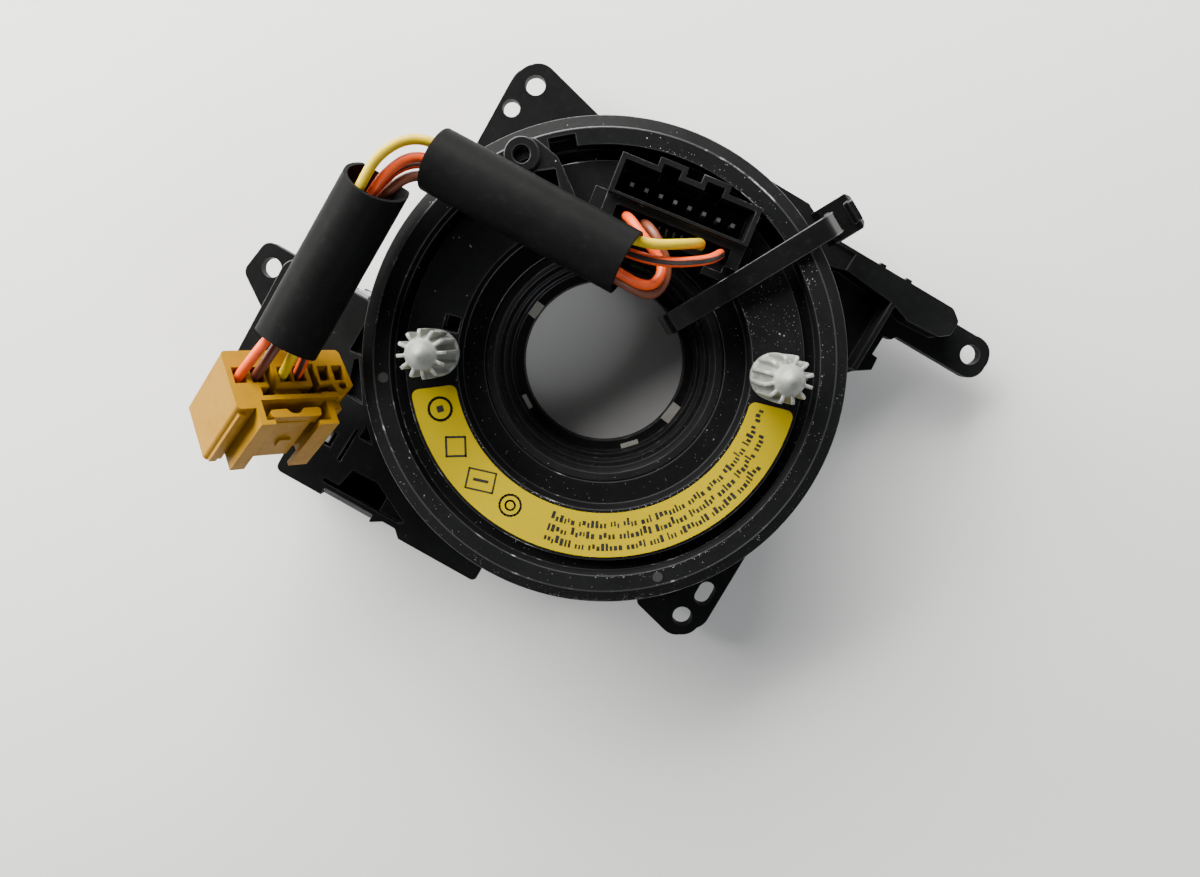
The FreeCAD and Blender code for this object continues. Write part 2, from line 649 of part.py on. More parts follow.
def socket_block():
    body = socket_body()
    w = SOCKET_WALL
    cavity = box(-SOCKET_HALF + w, SOCKET_HALF - w, SOCKET_V0, SOCKET_V1 - w, SOCKET_FLOOR, SOCKET_RIM + 1)
    body = body.cut(cavity)
    for u0, u1 in KEY_BUMPS:
        body = body.cut(box(u0 + w, u1 - w, SOCKET_V1 - w - 0.5, SOCKET_V1 + BUMP_OUT - w,
                            SOCKET_FLOOR, SOCKET_RIM + 1))
    body = body.cut(box(-SLOT_HALF, SLOT_HALF, SLOT_V0, SLOT_V1, SLOT_FLOOR, SOCKET_RIM + 1))
    body = body.cut(box(-SLOT_HALF, SLOT_HALF, CHAMBER_V - 1, SLOT_V0 + 0.1, SLOT_LIP, SOCKET_RIM + 1))
    fins = [box(u - 0.2, u + 0.2, SLOT_V0, SLOT_V0 + 1.2, SLOT_FLOOR, CHAMBER_RIM - 1.0)
            for u in (-3.4, -2.1, -0.8, 0.5, 1.8, 3.1)]
    feet = [box(u0, u1, v0, v1, FACE_TOP, FACE_TOP + 1.2) for u0, u1, v0, v1 in FOOT]
    return socket_place(join([body] + fins + feet)).cut(socket_pins())


def socket_pins():
    pins = []
    half = PIN_SIDE / 2
    for i in range(PIN_COUNT):
        u = (i - (PIN_COUNT - 1) / 2) * PIN_PITCH
        pins.append(box(u - half, u + half, -half, half, SOCKET_BOTTOM, PIN_TOP))
    return socket_place(Part.makeCompound(pins))


def rotor_disc():
    """Turned disc: rim with its bevel and skirt, groove, label face, stepped recess and the upper tube."""
    skirt_in = DRUM_R + SKIRT_GAP
    body = lathe([
        (RECESS_R, FACE_TOP), (GROOVE_IN_R, FACE_TOP), (GROOVE_IN_R, GROOVE_FLOOR), (RIM_IN_R, GROOVE_FLOOR),
        (RIM_IN_R, RIM_TOP), (RIM_FLAT_R, RIM_TOP), (DISC_R, RIM_TOP - RIM_BEVEL), (DISC_R, SKIRT_BOTTOM),
        (skirt_in, SKIRT_BOTTOM), (skirt_in, FACE_UNDER), (RECESS_R + RECESS_WALL, FACE_UNDER),
        (RECESS_R + RECESS_WALL, SHELF_TOP - SHELF_T), (TUBE_R, SHELF_TOP - SHELF_T), (TUBE_R, TUBE_BOTTOM),
        (SLEEVE_IN_R, TUBE_BOTTOM), (SLEEVE_IN_R, SHELF_TOP), (RECESS_R, SHELF_TOP)])
    body = body.cut(socket_place(socket_body(WINDOW_GAP, SOCKET_BOTTOM - 1)))
    for a in (DRIVE_ANGLE, DRIVE_ANGLE + 180):
        x, y = DRIVE_R * math.cos(math.radians(a)), DRIVE_R * math.sin(math.radians(a))
        body = body.cut(cyl(DRIVE_STUB_R + 0.05, FACE_UNDER - 1, FACE_TOP + 1, x, y))
    pocket = rot(box(33.8, 37.0, -2.0, 2.4, GROOVE_FLOOR + 0.4, RIM_TOP + 1), 130.5)
    notch = rot(box(RECESS_R + 0.5, RECESS_R + 3.0, -1.3, 1.3, FACE_UNDER + 0.7, FACE_TOP + 1), -165.0)
    body = body.cut(pocket).cut(notch)
    return join([body, boss_bracket()]).removeSplitter()


BOSS_AT = (-28.2, 22.3)


def boss_bracket():
    """Flat gusset on the rim with a round boss and a raised edge, beside the socket block."""
    x, y = BOSS_AT
    plate = prism([(-30.6, 23.6, 2.3), (-28.0, 25.6, 2.3), (-23.0, 24.9, 0.8), (-17.6, 21.0, 0), (-20.4, 18.4, 0),
                   (-29.5, 19.9, 2.3)], GROOVE_FLOOR - 0.3, RIM_TOP + 0.5)
    hollow = prism([(-25.2, 20.8, 0), (-22.4, 23.0, 0), (-20.0, 20.4, 0)], GROOVE_FLOOR + 0.5, RIM_TOP + 1)
    plate = plate.cut(hollow)
    boss = cyl(2.8, GROOVE_FLOOR - 0.3, RIM_TOP + 1.0, x, y)
    body = join([plate, boss])
    return body.cut(cyl(1.4, GROOVE_FLOOR + 1.0, RIM_TOP + 2, x, y))


def rotor_hub():
    outline_points = [(BORE_R, 0.0)]
    r = BORE_R
    for next_r, z in LEDGES:
        outline_points += [(r, z), (next_r, z)]
        r = next_r
    outline_points += [(r, HUB_TOP), (HUB_R, HUB_TOP), (HUB_R, TUBE_BOTTOM), (TUBE_R, TUBE_BOTTOM),
                       (TUBE_R, FLANGE_BOTTOM), (GEAR_SEAT_R, FLANGE_BOTTOM), (GEAR_SEAT_R, MAIN_Z0),
                       (JOURNAL_R, MAIN_Z0), (JOURNAL_R, 0.0)]
    body = lathe(outline_points)
    return body


def bore_clips():
    """Ends of the gear ring's snap hooks, seen on the bore's first ledge."""
    ledge_r, z = LEDGES[0]
    outer = ledge_r - 0.2
    return Part.makeCompound([rot(box(outer - depth, outer, -width / 2, width / 2, z, z + CLIP_H), angle)
                              for angle, width, depth in CLIPS])


def label():
    """Thin arc sticker with round corners, on the disc's face."""
    mid = (LABEL_R0 + LABEL_R1) / 2
    span = LABEL_TO - LABEL_FROM
    full = ring(LABEL_R1, LABEL_R0, FACE_TOP, FACE_TOP + LABEL_T)
    reach = LABEL_R1 + 5
    wedge_points = [V(0, 0, FACE_TOP)]
    steps = 6
    for i in range(steps + 1):
        a = math.radians(LABEL_FROM + span * i / steps)
        wedge_points.append(V(reach * 1.3 * math.cos(a), reach * 1.3 * math.sin(a), FACE_TOP))
    wedge = Part.Face(Part.makePolygon(wedge_points + [wedge_points[0]])).extrude(V(0, 0, LABEL_T))
    body = full.common(wedge)
    ends = [e for e in body.Edges if abs(e.Vertexes[0].Z - e.Vertexes[-1].Z) > LABEL_T / 2
            and e.Length < LABEL_T * 1.1]
    return body.makeFillet(1.2, ends)


def drive_pin(angle):
    """Ribbed cone with a domed tip, riveted through the disc by its stub."""
    top = DRIVE_TOP - DRIVE_DOME
    foot = FACE_TOP + 1.3
    side = Part.makePolygon([V(DRIVE_TIP_R, 0, DRIVE_TOP), V(0, 0, DRIVE_TOP), V(0, 0, FACE_TOP),
                             V(DRIVE_BASE_R, 0, FACE_TOP), V(DRIVE_BASE_R, 0, FACE_TOP + 0.9),
                             V(DRIVE_FOOT_R, 0, foot), V(DRIVE_CORE_R, 0, top)])
    dome = Part.Arc(V(DRIVE_CORE_R, 0, top), V(DRIVE_CORE_R * 0.72, 0, DRIVE_TOP - DRIVE_DOME * 0.35),
                    V(DRIVE_TIP_R, 0, DRIVE_TOP)).toShape()
    core = Part.Face(Part.Wire(side.Edges + [dome])).revolve(V(0, 0, 0), UP, 360)
    stub = cyl(DRIVE_STUB_R, FACE_UNDER, FACE_TOP)
    rib_foot, rib_top = FACE_TOP + 0.5, top - 0.3
    rib_end = DRIVE_CORE_R + 0.15
    shoulder = top - DRIVE_SHOULDER
    frame = Part.makePolygon([V(rib_end, 0, rib_top), V(0, 0, rib_top), V(0, 0, rib_foot),
                              V(DRIVE_RIB_R, 0, rib_foot), V(DRIVE_RIB_R, 0, shoulder)])
    curve = Part.Arc(V(DRIVE_RIB_R, 0, shoulder), V(DRIVE_RIB_R - 0.28, 0, top - DRIVE_SHOULDER * 0.4),
                     V(rib_end, 0, rib_top)).toShape()
    envelope = Part.Face(Part.Wire(frame.Edges + [curve])).revolve(V(0, 0, 0), UP, 360)
    reach = DRIVE_RIB_R + 0.5
    bars = [rot(box(-reach, reach, -DRIVE_RIB_T / 2, DRIVE_RIB_T / 2, FACE_TOP, DRIVE_TOP), i * 360.0 / DRIVE_RIBS)
            for i in range(DRIVE_RIBS // 2)]
    body = join([core, envelope.common(join(bars)), stub])
    body.translate(V(DRIVE_R * math.cos(math.radians(angle)), DRIVE_R * math.sin(math.radians(angle)), 0))
    return body


TIE_PATH = [(BORE_R - 2.2, 9.0), (BORE_R - 2.2, SHELF_TOP + 0.4), (BORE_R + 1.7, SHELF_TOP + 3.2),
            (RECESS_R - 0.7, FACE_TOP + 1.3), (RIM_IN_R + 0.1, RIM_TOP + 0.78), (DISC_R + 2.0, RIM_TOP + 0.4),
            (DISC_R + 4.4, RIM_TOP - 2.6), (DISC_R + 4.7, RIM_TOP - 7.0)]
TIE_BENDS = [0, 2.4, 8.0, 12.0, 12.0, 2.2, 4.0, 0]


def rounded_path(points, radii):
    """Wire of straight runs joined by tangent arcs of the given radii."""
    edges = []
    last = points[0]
    for i in range(1, len(points) - 1):
        p = points[i]
        before = (points[i - 1] - p)
        after = (points[i + 1] - p)
        before.normalize()
        after.normalize()
        half = before.getAngle(after) / 2
        back = radii[i] / math.tan(half)
        a = p + before * back
        b = p + after * back
        bisect = before + after
        bisect.normalize()
        m = p + bisect * (radii[i] / math.sin(half) - radii[i])
        if last.distanceToPoint(a) > 1e-5:
            edges.append(Part.LineSegment(last, a).toShape())
        edges.append(Part.Arc(a, m, b).toShape())
        last = b
    edges.append(Part.LineSegment(last, points[-1]).toShape())
    return Part.Wire(edges)


def cable_tie():
    """Strap over the disc with its head outside the rim, in the plane of the tie's own angle."""
    path = [V(r, 0, z) for r, z in TIE_PATH]
    wire = rounded_path(path, TIE_BENDS)
    (r, z), half, t = TIE_PATH[0], TIE_W / 2, TIE_T / 2
    section = Part.makePolygon([V(r - t, -half, z), V(r + t, -half, z), V(r + t, half, z), V(r - t, half, z),
                                V(r - t, -half, z)])
    strap = wire.makePipeShell([section], True, False)
    hl, hw, ht = TIE_HEAD
    r0, z1 = TIE_PATH[-1][0] - 1.1, TIE_PATH[-1][1] + 0.4
    head = box(r0, r0 + hl, -hw / 2, hw / 2, z1 - ht, z1)
    head = head.makeChamfer(0.8, [e for e in head.Edges if abs(e.Vertexes[0].X - e.Vertexes[1].X) < 1e-6
                                  and e.Vertexes[0].X > r0 + 1])
    tail = box(r0 + hl - 1.9, r0 + hl - 0.8, -TIE_W / 2, TIE_W / 2, z1 - 1, z1 + 2.2)
    body = join([strap, head, tail])
    return rot(body, TIE_ANGLE)


# Leads: each route runs from its slot in the socket block, through both sleeves, into the plug
ROUTES = {
    "yellow": [(3.9, 24.7, 32.0), (1.5, 22.4, 38.0), (-4.2, 18.7, 40.3), (-12.5, 17.9, 39.8), (-24.0, 17.0, 39.4),
               (-36.0, 16.5, 37.7), (-42.0, 15.9, 38.5), (-45.6, 11.0, 38.8), (-45.8, 4.5, 38.7),
               (-44.9, -5.5, 38.4), (-44.0, -15.0, 37.2)],
    "striped": [(7.4, 25.1, 31.2), (5.6, 21.9, 36.6), (-1.0, 17.6, 38.6), (-9.0, 16.2, 37.6), (-22.0, 14.4, 35.6),
                (-35.0, 13.8, 33.3), (-41.0, 13.4, 33.5), (-44.5, 8.8, 33.7), (-44.6, 2.5, 33.3),
                (-43.1, -6.5, 33.2), (-43.6, -15.0, 34.2)],
    "orange": [(-9.3, 22.7, 30.6), (-5.0, 20.6, 33.4), (0.6, 18.2, 33.8), (0.2, 13.6, 36.6), (-6.5, 13.2, 40.7),
               (-20.0, 14.2, 39.5), (-35.5, 14.2, 36.8), (-41.2, 13.6, 37.4), (-43.9, 8.6, 37.4),
               (-44.3, 2.5, 36.9), (-46.5, -7.5, 36.4), (-46.8, -17.5, 36.2)],
    "brown": [(-6.0, 23.1, 29.9), (-2.6, 21.5, 32.2), (1.6, 18.0, 31.8), (1.4, 12.8, 34.2), (-4.6, 12.4, 37.9),
              (-12.0, 12.0, 38.2), (-22.5, 11.8, 37.2), (-34.0, 12.1, 35.6), (-39.8, 11.4, 35.9),
              (-42.6, 7.0, 35.9), (-43.4, 1.0, 35.2), (-45.2, -8.0, 34.7), (-45.8, -16.5, 34.3)],
}
SLEEVES = {
    "upper": (V(-38.5, 14.4, 35.6), V(-5.0, 15.2, 39.8)),
    "lower": (V(-44.4, 8.2, 36.4), V(-45.3, -22.1, 35.0)),
}


def socket_point(u, v, z):
    a = math.radians(SOCKET_TURN)
    return V(SOCKET_X + u * math.cos(a) - v * math.sin(a), SOCKET_Y + u * math.sin(a) + v * math.cos(a), z)


def lead(name):
    way = PLUG_WAYS[name]
    points = [socket_point(ENTRY_U[name], ENTRY_V, SLOT_FLOOR)] + [V(*p) for p in ROUTES[name]]
    points += [plug_point(way, PLUG_ROW, -WIRE_LEAD_IN), plug_point(way, PLUG_ROW, WIRE_DEPTH)]
    radii = [0]
    for i in range(1, len(points) - 1):
        before = points[i] - points[i - 1]
        after = points[i + 1] - points[i]
        turn = before.getAngle(after)
        radii.append(0.45 * min(before.Length, after.Length) / math.tan(turn / 2))
    radii.append(0)
    wire = rounded_path(points, radii)
    start = points[1] - points[0]
    circle = Part.Wire(Part.makeCircle(WIRE_R, points[0], start))
    body = wire.makePipeShell([circle], True, False)
    ideal = math.pi * WIRE_R ** 2 * wire.Length
    print("lead", name, "length", round(wire.Length, 1), "radii", [round(r, 1) for r in radii[1:-1]],
          "volume ratio", round(body.Volume / ideal, 4))
    return body


def sleeve(name):
    a, b = SLEEVES[name]
    axis = b - a
    outer = Part.makeCylinder(SLEEVE_R, axis.Length, a, axis)
    step = V(axis).normalize()
    return outer.cut(Part.makeCylinder(SLEEVE_R - SLEEVE_WALL, axis.Length + 2, a - step, axis))


def plug_frame():
    """Placement of the plug: local X along its width, local Y through it, local Z from entry to mating end."""
    along = V(PLUG_LONG).normalize()
    down = V(PLUG_DOWN)
    down = (down - along * down.dot(along)).normalize()
    through = down.cross(along)
    m = FreeCAD.Matrix(along.x, through.x, down.x, PLUG_AT.x,
                       along.y, through.y, down.y, PLUG_AT.y,
                       along.z, through.z, down.z, PLUG_AT.z, 0, 0, 0, 1)
    return m


def plug_place(shape):
    return shape.transformShape(plug_frame(), True)


def plug_point(x, y, z):
    return plug_frame().multVec(V(x, y, z))


def chamber(x, z0, z1):
    half_x, half_y = CHAMBER_HALF
    return box(x - half_x, x + half_x, PLUG_ROW - half_y, PLUG_ROW + half_y, z0, z1)


def terminals_local():
    half_x, half_y = TERMINAL_HALF
    return [box(x - half_x, x + half_x, PLUG_ROW - half_y, PLUG_ROW + half_y, WIRE_DEPTH, WIRE_DEPTH + 6.0)
            for x in PLUG_WAYS.values()]


def rail(x_wall, x_foot, y_foot, z0):
    """Guard beside the lock: a wall down from the plug with a foot turned under the lock."""
    t = 1.1
    wall = box(min(x_wall, x_wall + t), max(x_wall, x_wall + t), PLUG_FLOOR - 1, y_foot + 0.8, z0, PLUG_L - 1.5)
    foot = box(min(x_wall, x_foot), max(x_wall + t, x_foot), y_foot, y_foot + 0.8, z0, PLUG_L - 1.5)
    return join([wall, foot])


def plug_local():
    """Plug housing: two blocks of chambers parted by key slots, a stepped well and the guards of the lock."""
    body = prism([(PLUG_LEFT, PLUG_TOP, 0.8), (PLUG_RIGHT - 0.6, PLUG_TOP, 0.8), (PLUG_RIGHT, 3.2, 0.4),
                  (6.9, 5.9, 0.4), (6.9, PLUG_FLOOR, 0), (-7.2, PLUG_FLOOR, 0), (-7.2, 6.6, 0.4),
                  (PLUG_LEFT, 6.6, 0.8)], 0, PLUG_L)
    ribs = [box(-9.8, -8.6, 6.3, 7.2, 1.2, PLUG_L - 0.5), box(6.0, 7.6, 4.6, 6.9, 1.2, PLUG_L - 1.0)]
    body = join([body, rail(-7.3, -4.9, 8.8, 0.0), rail(5.0, 2.8, 8.9, 0.8)] + ribs)
    for x in list(PLUG_WAYS.values()) + PLUG_SPARE:
        body = body.cut(chamber(x, -1, PLUG_L - 2.5))
    slot_depth = 5.0
    body = body.cut(box(-4.2, -2.9, -1.3, 4.4, -1, slot_depth))
    body = body.cut(box(-5.6, -4.1, 2.9, 4.4, -1, slot_depth))
    body = body.cut(box(3.2, 4.4, -1.3, 4.2, -1, slot_depth))
    body = body.cut(box(1.4, 3.3, 2.9, 4.2, -1, slot_depth))
    body = body.cut(box(-5.6, 4.4, 2.9, 4.4, -1, 1.2))
    body = body.cut(prism([(4.3, 2.9, 0), (6.6, 2.7, 0), (7.2, 4.2, 0), (4.3, 4.2, 0)], -1, 2.2))
    body = body.cut(Part.makeCylinder(0.75, 4.0, V(8.5, 3.0, -1)))
    body = body.cut(box(PLUG_LEFT + 1.2, PLUG_RIGHT - 1.6, PLUG_TOP + 1.0, 3.4, PLUG_L - 3.0, PLUG_L + 1))
    return body


def lock_local():
    """Lever lock: a cross bar with two ears and a thumb notch, on a long arm that ends in the plug's floor."""
    y0 = PLUG_FLOOR + LOCK_GAP
    y1 = y0 + LOCK_T
    bar = prism([(-5.0, y0 + 0.1, 0.5), (3.5, y0, 0.5), (3.3, y1 - 0.1, 0.5), (-5.0, y1 - 0.2, 0.5)], 0.4, 2.6)
    thumb = Part.makeCylinder(1.5, 4.0, V(-0.8, y0 - 0.5, 0))
    lever = box(-3.7, 2.0, y0 + 0.5, y1, 2.0, 13.0)
    foot = box(-3.7, 2.0, PLUG_FLOOR, y1, 11.2, 13.0)
    nib = box(-1.6, 0.4, y1 - 0.1, y1 + 0.5, 7.0, 9.0)
    return join([bar, lever, foot, nib]).cut(thumb)


def build():
    os.makedirs("parts", exist_ok=True)
    save("stator_housing", stator_housing())
    save("base_cover", base_cover())
    save("base_screws", base_screws())
    save("cover_latch", cover_latch())
    save("circuit_board", circuit_board())
    save("sensor_chips", sensor_chips())
    save("vehicle_socket", vehicle_socket())
    save("vehicle_pins", vehicle_pins())
    save("ribbon_cable", ribbon_cable())
    save("rotor_disc", rotor_disc())
    save("rotor_hub", rotor_hub())
    save("bore_clips", bore_clips())
    save("main_gear", main_gear())
    save("socket_block", socket_block())
    save("socket_pins", socket_pins())
    save("yellow_label", label())
    save("drive_pin_right", drive_pin(DRIVE_ANGLE))
    save("drive_pin_left", drive_pin(DRIVE_ANGLE + 180))
    save("cable_tie", cable_tie())
    for key in GEARS:
        save("measuring_gear_" + key, small_gear(key))
        save("magnet_" + key, magnet(key))
    for name in ROUTES:
        save("wire_" + name, lead(name))
    for name in SLEEVES:
        save("sleeve_" + name, sleeve(name))
    save("airbag_plug", plug_place(plug_local()))
    save("plug_lock", plug_place(lock_local()))
    save("plug_terminals", plug_place(Part.makeCompound(terminals_local())))


build()
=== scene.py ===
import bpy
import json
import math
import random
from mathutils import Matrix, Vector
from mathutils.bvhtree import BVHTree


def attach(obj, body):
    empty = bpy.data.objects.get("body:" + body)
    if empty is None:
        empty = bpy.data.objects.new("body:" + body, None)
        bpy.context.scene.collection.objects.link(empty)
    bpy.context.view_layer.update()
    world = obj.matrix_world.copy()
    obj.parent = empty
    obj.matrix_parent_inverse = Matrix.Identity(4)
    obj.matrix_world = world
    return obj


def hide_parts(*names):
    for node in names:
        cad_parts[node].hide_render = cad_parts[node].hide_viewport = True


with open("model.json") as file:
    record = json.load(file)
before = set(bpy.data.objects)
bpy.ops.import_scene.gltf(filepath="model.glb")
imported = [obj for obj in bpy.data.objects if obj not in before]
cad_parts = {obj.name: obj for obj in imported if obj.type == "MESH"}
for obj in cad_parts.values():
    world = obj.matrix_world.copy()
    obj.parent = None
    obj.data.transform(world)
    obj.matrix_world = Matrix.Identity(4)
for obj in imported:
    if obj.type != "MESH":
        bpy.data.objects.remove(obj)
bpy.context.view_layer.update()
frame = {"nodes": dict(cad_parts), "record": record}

# %% [markdown]
# The subject is a contact unit from a steering column: a ring that lets the steering wheel's wires turn
# with the wheel, and two small gears below it that tell the car how far the wheel has turned. The frame
# that was just loaded holds every solid at its real size, in metres. This lesson dresses those solids: it
# rounds their moulded edges, lays the leads as smooth curves and gives each surface the finish that a used
# part has.

MM = 0.001
BODY_OF = {node: body for body, nodes in frame["record"]["behaviour"]["bodies"].items() for node in nodes}


def at(x, y, z):
    """A point given in millimetres, as the drawing has it."""
    return Vector((x, y, z)) * MM


def clear_selection():
    """Leaves edit mode and deselects everything, because an operator acts on all that is selected."""
    if bpy.context.object and bpy.context.object.mode != "OBJECT":
        bpy.ops.object.mode_set(mode="OBJECT")
    bpy.ops.object.select_all(action="DESELECT")


def pick(piece):
    """Makes one piece the only selected and the active one, as a click on it does."""
    clear_selection()
    piece.select_set(True)
    bpy.context.view_layer.objects.active = piece


# %% [markdown]
# The camera stands about 19 cm above the table, nearly straight over the ring, rolled by 30 degrees and
# tipped by 6. It could stand further off with a longer lens, but then the picture would flatten: only from
# this near do the tall drive pins lean outwards, and does the ring hide the lower edge of the housing.

# %% Camera
TIP, ROLL = -6.0, 30.0
CAMERA_SPOT, SENSOR_MM, LENS_MM = (-2.88, 3.37, 186.2), 36.0, 28.65
bpy.ops.object.camera_add(location=at(*CAMERA_SPOT),
                          rotation=(math.radians(TIP), 0.0, math.radians(ROLL)))
camera = bpy.context.object
camera.name = "view_camera"
camera.data.sensor_width = SENSOR_MM
camera.data.lens = LENS_MM
camera.data.clip_start = 5 * MM
bpy.context.scene.camera = camera
print("camera at", [round(c / MM, 1) for c in camera.location], "mm")

# %% [markdown]
# Every finish below is a small network of nodes. Wiring each by hand would fill pages, so a few helpers add
# one node, plug its inputs in and give its output back. A helper takes either a number or another node's
# output.

# %% Helpers for materials
def shader_tree(name):
    """A new material, its node tree and its Principled shader."""
    finish = bpy.data.materials.new(name)
    finish.use_nodes = True
    tree = finish.node_tree
    return finish, tree, tree.nodes["Principled BSDF"]


def add_math(tree, operation, a, b=None, clamp=False):
    """A Math node whose inputs may be sockets or numbers; gives its output back."""
    node = tree.nodes.new("ShaderNodeMath")
    node.operation = operation
    node.use_clamp = clamp
    for slot, value in zip(node.inputs, (a, b)):
        if value is None:
            continue
        if isinstance(value, (int, float)):
            slot.default_value = value
        else:
            tree.links.new(value, slot)
    return node.outputs[0]


def add_noise(tree, vector, scale, detail=2.0, rough=0.5):
    """A noise pattern on the given coordinates; its scale may be a number or a socket."""
    node = tree.nodes.new("ShaderNodeTexNoise")
    node.inputs["Detail"].default_value = detail
    node.inputs["Roughness"].default_value = rough
    if isinstance(scale, (int, float)):
        node.inputs["Scale"].default_value = scale
    else:
        tree.links.new(scale, node.inputs["Scale"])
    tree.links.new(vector, node.inputs["Vector"])
    return node.outputs["Fac"]


def add_range(tree, value, low, high, to_low=0.0, to_high=1.0):
    """Stretches the values between low and high over a new range and holds those outside it."""
    node = tree.nodes.new("ShaderNodeMapRange")
    tree.links.new(value, node.inputs["Value"])
    for slot, number in (("From Min", low), ("From Max", high), ("To Min", to_low), ("To Max", to_high)):
        if isinstance(number, (int, float)):
            node.inputs[slot].default_value = number
        else:
            tree.links.new(number, node.inputs[slot])
    return node.outputs["Result"]


def mix_colour(tree, mask, a, b):
    """Colour a where the mask is 0 and b where it is 1; each is a colour or a socket."""
    node = tree.nodes.new("ShaderNodeMix")
    node.data_type = "RGBA"
    if isinstance(mask, (int, float)):
        node.inputs[0].default_value = mask
    else:
        tree.links.new(mask, node.inputs[0])
    for slot, value in ((node.inputs[6], a), (node.inputs[7], b)):
        if isinstance(value, tuple):
            slot.default_value = (*value, 1.0)
        else:
            tree.links.new(value, slot)
    return node.outputs[2]


# %% [markdown]
# The part lies on one white sheet that darkens slowly across the picture, as a desk does away from a window.
# A dimmer lamp could do the same, but it would dim the part as well, so the slope is painted into the sheet:
# a dot product rises steadily along one direction, and a faint cloud keeps it from looking drawn.

# %% Table
TABLE_TONES = [(0.0, (0.60, 0.60, 0.59)), (0.9, (0.90, 0.90, 0.885))]


def set_stops(ramp, stops):
    """Gives a colour ramp its stops in rising order, each with its place and its colour."""
    elements = ramp.color_ramp.elements
    for k, (place, colour) in ((0, stops[0]), (1, stops[-1])):
        elements[k].position = place
        elements[k].color = (*colour, 1.0)
    for place, colour in stops[1:-1]:
        elements.new(place).color = (*colour, 1.0)


bpy.ops.mesh.primitive_plane_add(size=3.0, location=(0, 0, 0))
table = bpy.context.object
table.name = "table_top"
table_paint, tree, shader = shader_tree("table_paint")
place = tree.nodes.new("ShaderNodeTexCoord").outputs["Object"]
across = tree.nodes.new("ShaderNodeVectorMath")
across.operation = "DOT_PRODUCT"
across.inputs[1].default_value = (-3.6, 3.4, 0.0)
tree.links.new(place, across.inputs[0])
cloud = add_noise(tree, place, 9.0)
slope = add_math(tree, "ADD", across.outputs["Value"], 0.4)
share = add_math(tree, "ADD", add_math(tree, "MULTIPLY", cloud, 0.25), slope)
tone = tree.nodes.new("ShaderNodeValToRGB")
set_stops(tone, TABLE_TONES)
tree.links.new(share, tone.inputs["Fac"])
tree.links.new(tone.outputs["Color"], shader.inputs["Base Color"])
shader.inputs["Roughness"].default_value = 0.6
table.data.materials.append(table_paint)
print("table", [round(side, 2) for side in table.dimensions[:2]], "m")

# %% [markdown]
# The light is a low window to the upper left of the picture and a weak lamp on the other side. A sun would
# draw a hard shadow, and the real one is soft, so the window is a large area light. The lamp stands just high
# enough to reach one half of the bore's floor.

# %% Window and lamp
def area_light(name, place, size, power, colour):
    """A rectangle of light that faces the middle of the table."""
    bpy.ops.object.light_add(type="AREA", location=place)
    lamp = bpy.context.object
    lamp.name = name
    lamp.data.shape = "RECTANGLE"
    lamp.data.size, lamp.data.size_y = size
    lamp.data.energy = power
    lamp.data.color = colour
    lamp.rotation_euler = (-Vector(place)).to_track_quat("-Z", "Y").to_euler()
    print(name, power, "W")


area_light("window", (-0.84, 0.46, 0.50), (1.8, 0.6), 90.0, (1.0, 0.985, 0.96))
area_light("room_fill", (0.61, -0.17, 0.66), (0.3, 0.3), 2.2, (0.95, 0.97, 1.0))

# %% [markdown]
# A room stands round the table, bright near the horizon and dark straight above. Flat black faces look up and
# stay black, while rounded edges look sideways and catch a thin light line. An even grey sky would be
# simpler, but it would veil the faces and lose the lines.

# %% Room
ROOM_TONES = [(0.05, (0.92, 0.94, 0.96)), (0.4, (0.38, 0.39, 0.40)), (0.75, (0.08, 0.082, 0.084))]
ROOM_STRENGTH = 1.25
world = bpy.data.worlds.new("pale_room")
bpy.context.scene.world = world
world.use_nodes = True
room = world.node_tree
view = room.nodes.new("ShaderNodeTexCoord")
axes = room.nodes.new("ShaderNodeSeparateXYZ")
sky = room.nodes.new("ShaderNodeValToRGB")
set_stops(sky, ROOM_TONES)
room.links.new(view.outputs["Generated"], axes.inputs["Vector"])
room.links.new(axes.outputs["Z"], sky.inputs["Fac"])
room.links.new(sky.outputs["Color"], room.nodes["Background"].inputs["Color"])
room.nodes["Background"].inputs["Strength"].default_value = ROOM_STRENGTH
print("room stops", [round(stop.position, 2) for stop in sky.color_ramp.elements])

# %% [markdown]
# Several finishes share the same effects, so each effect is a node group with named inputs: a fine moulding
# grain, pale dust that gathers in specks, and streaks from handling. A group gives out masks and heights
# only, and every material mixes them into its own colour and roughness.

# %% Shared effects
def effect_group(name, inputs, outputs):
    """An empty shader node group with float sockets."""
    group = bpy.data.node_groups.new(name, "ShaderNodeTree")
    for label, value in inputs:
        socket = group.interface.new_socket(label, in_out="INPUT", socket_type="NodeSocketFloat")
        socket.default_value = value
    for label in outputs:
        group.interface.new_socket(label, in_out="OUTPUT", socket_type="NodeSocketFloat")
    source = group.nodes.new("NodeGroupInput")
    sink = group.nodes.new("NodeGroupOutput")
    return group, source, sink


moulding_grain, source, sink = effect_group("moulding_grain", [("Grain Size", 9000.0)], ["Height", "Patches"])
place = moulding_grain.nodes.new("ShaderNodeTexCoord").outputs["Object"]
fine = add_noise(moulding_grain, place, source.outputs["Grain Size"], 2.0, 0.6)
broad = add_noise(moulding_grain, place, 130.0, 3.0, 0.6)
moulding_grain.links.new(fine, sink.inputs["Height"])
moulding_grain.links.new(broad, sink.inputs["Patches"])

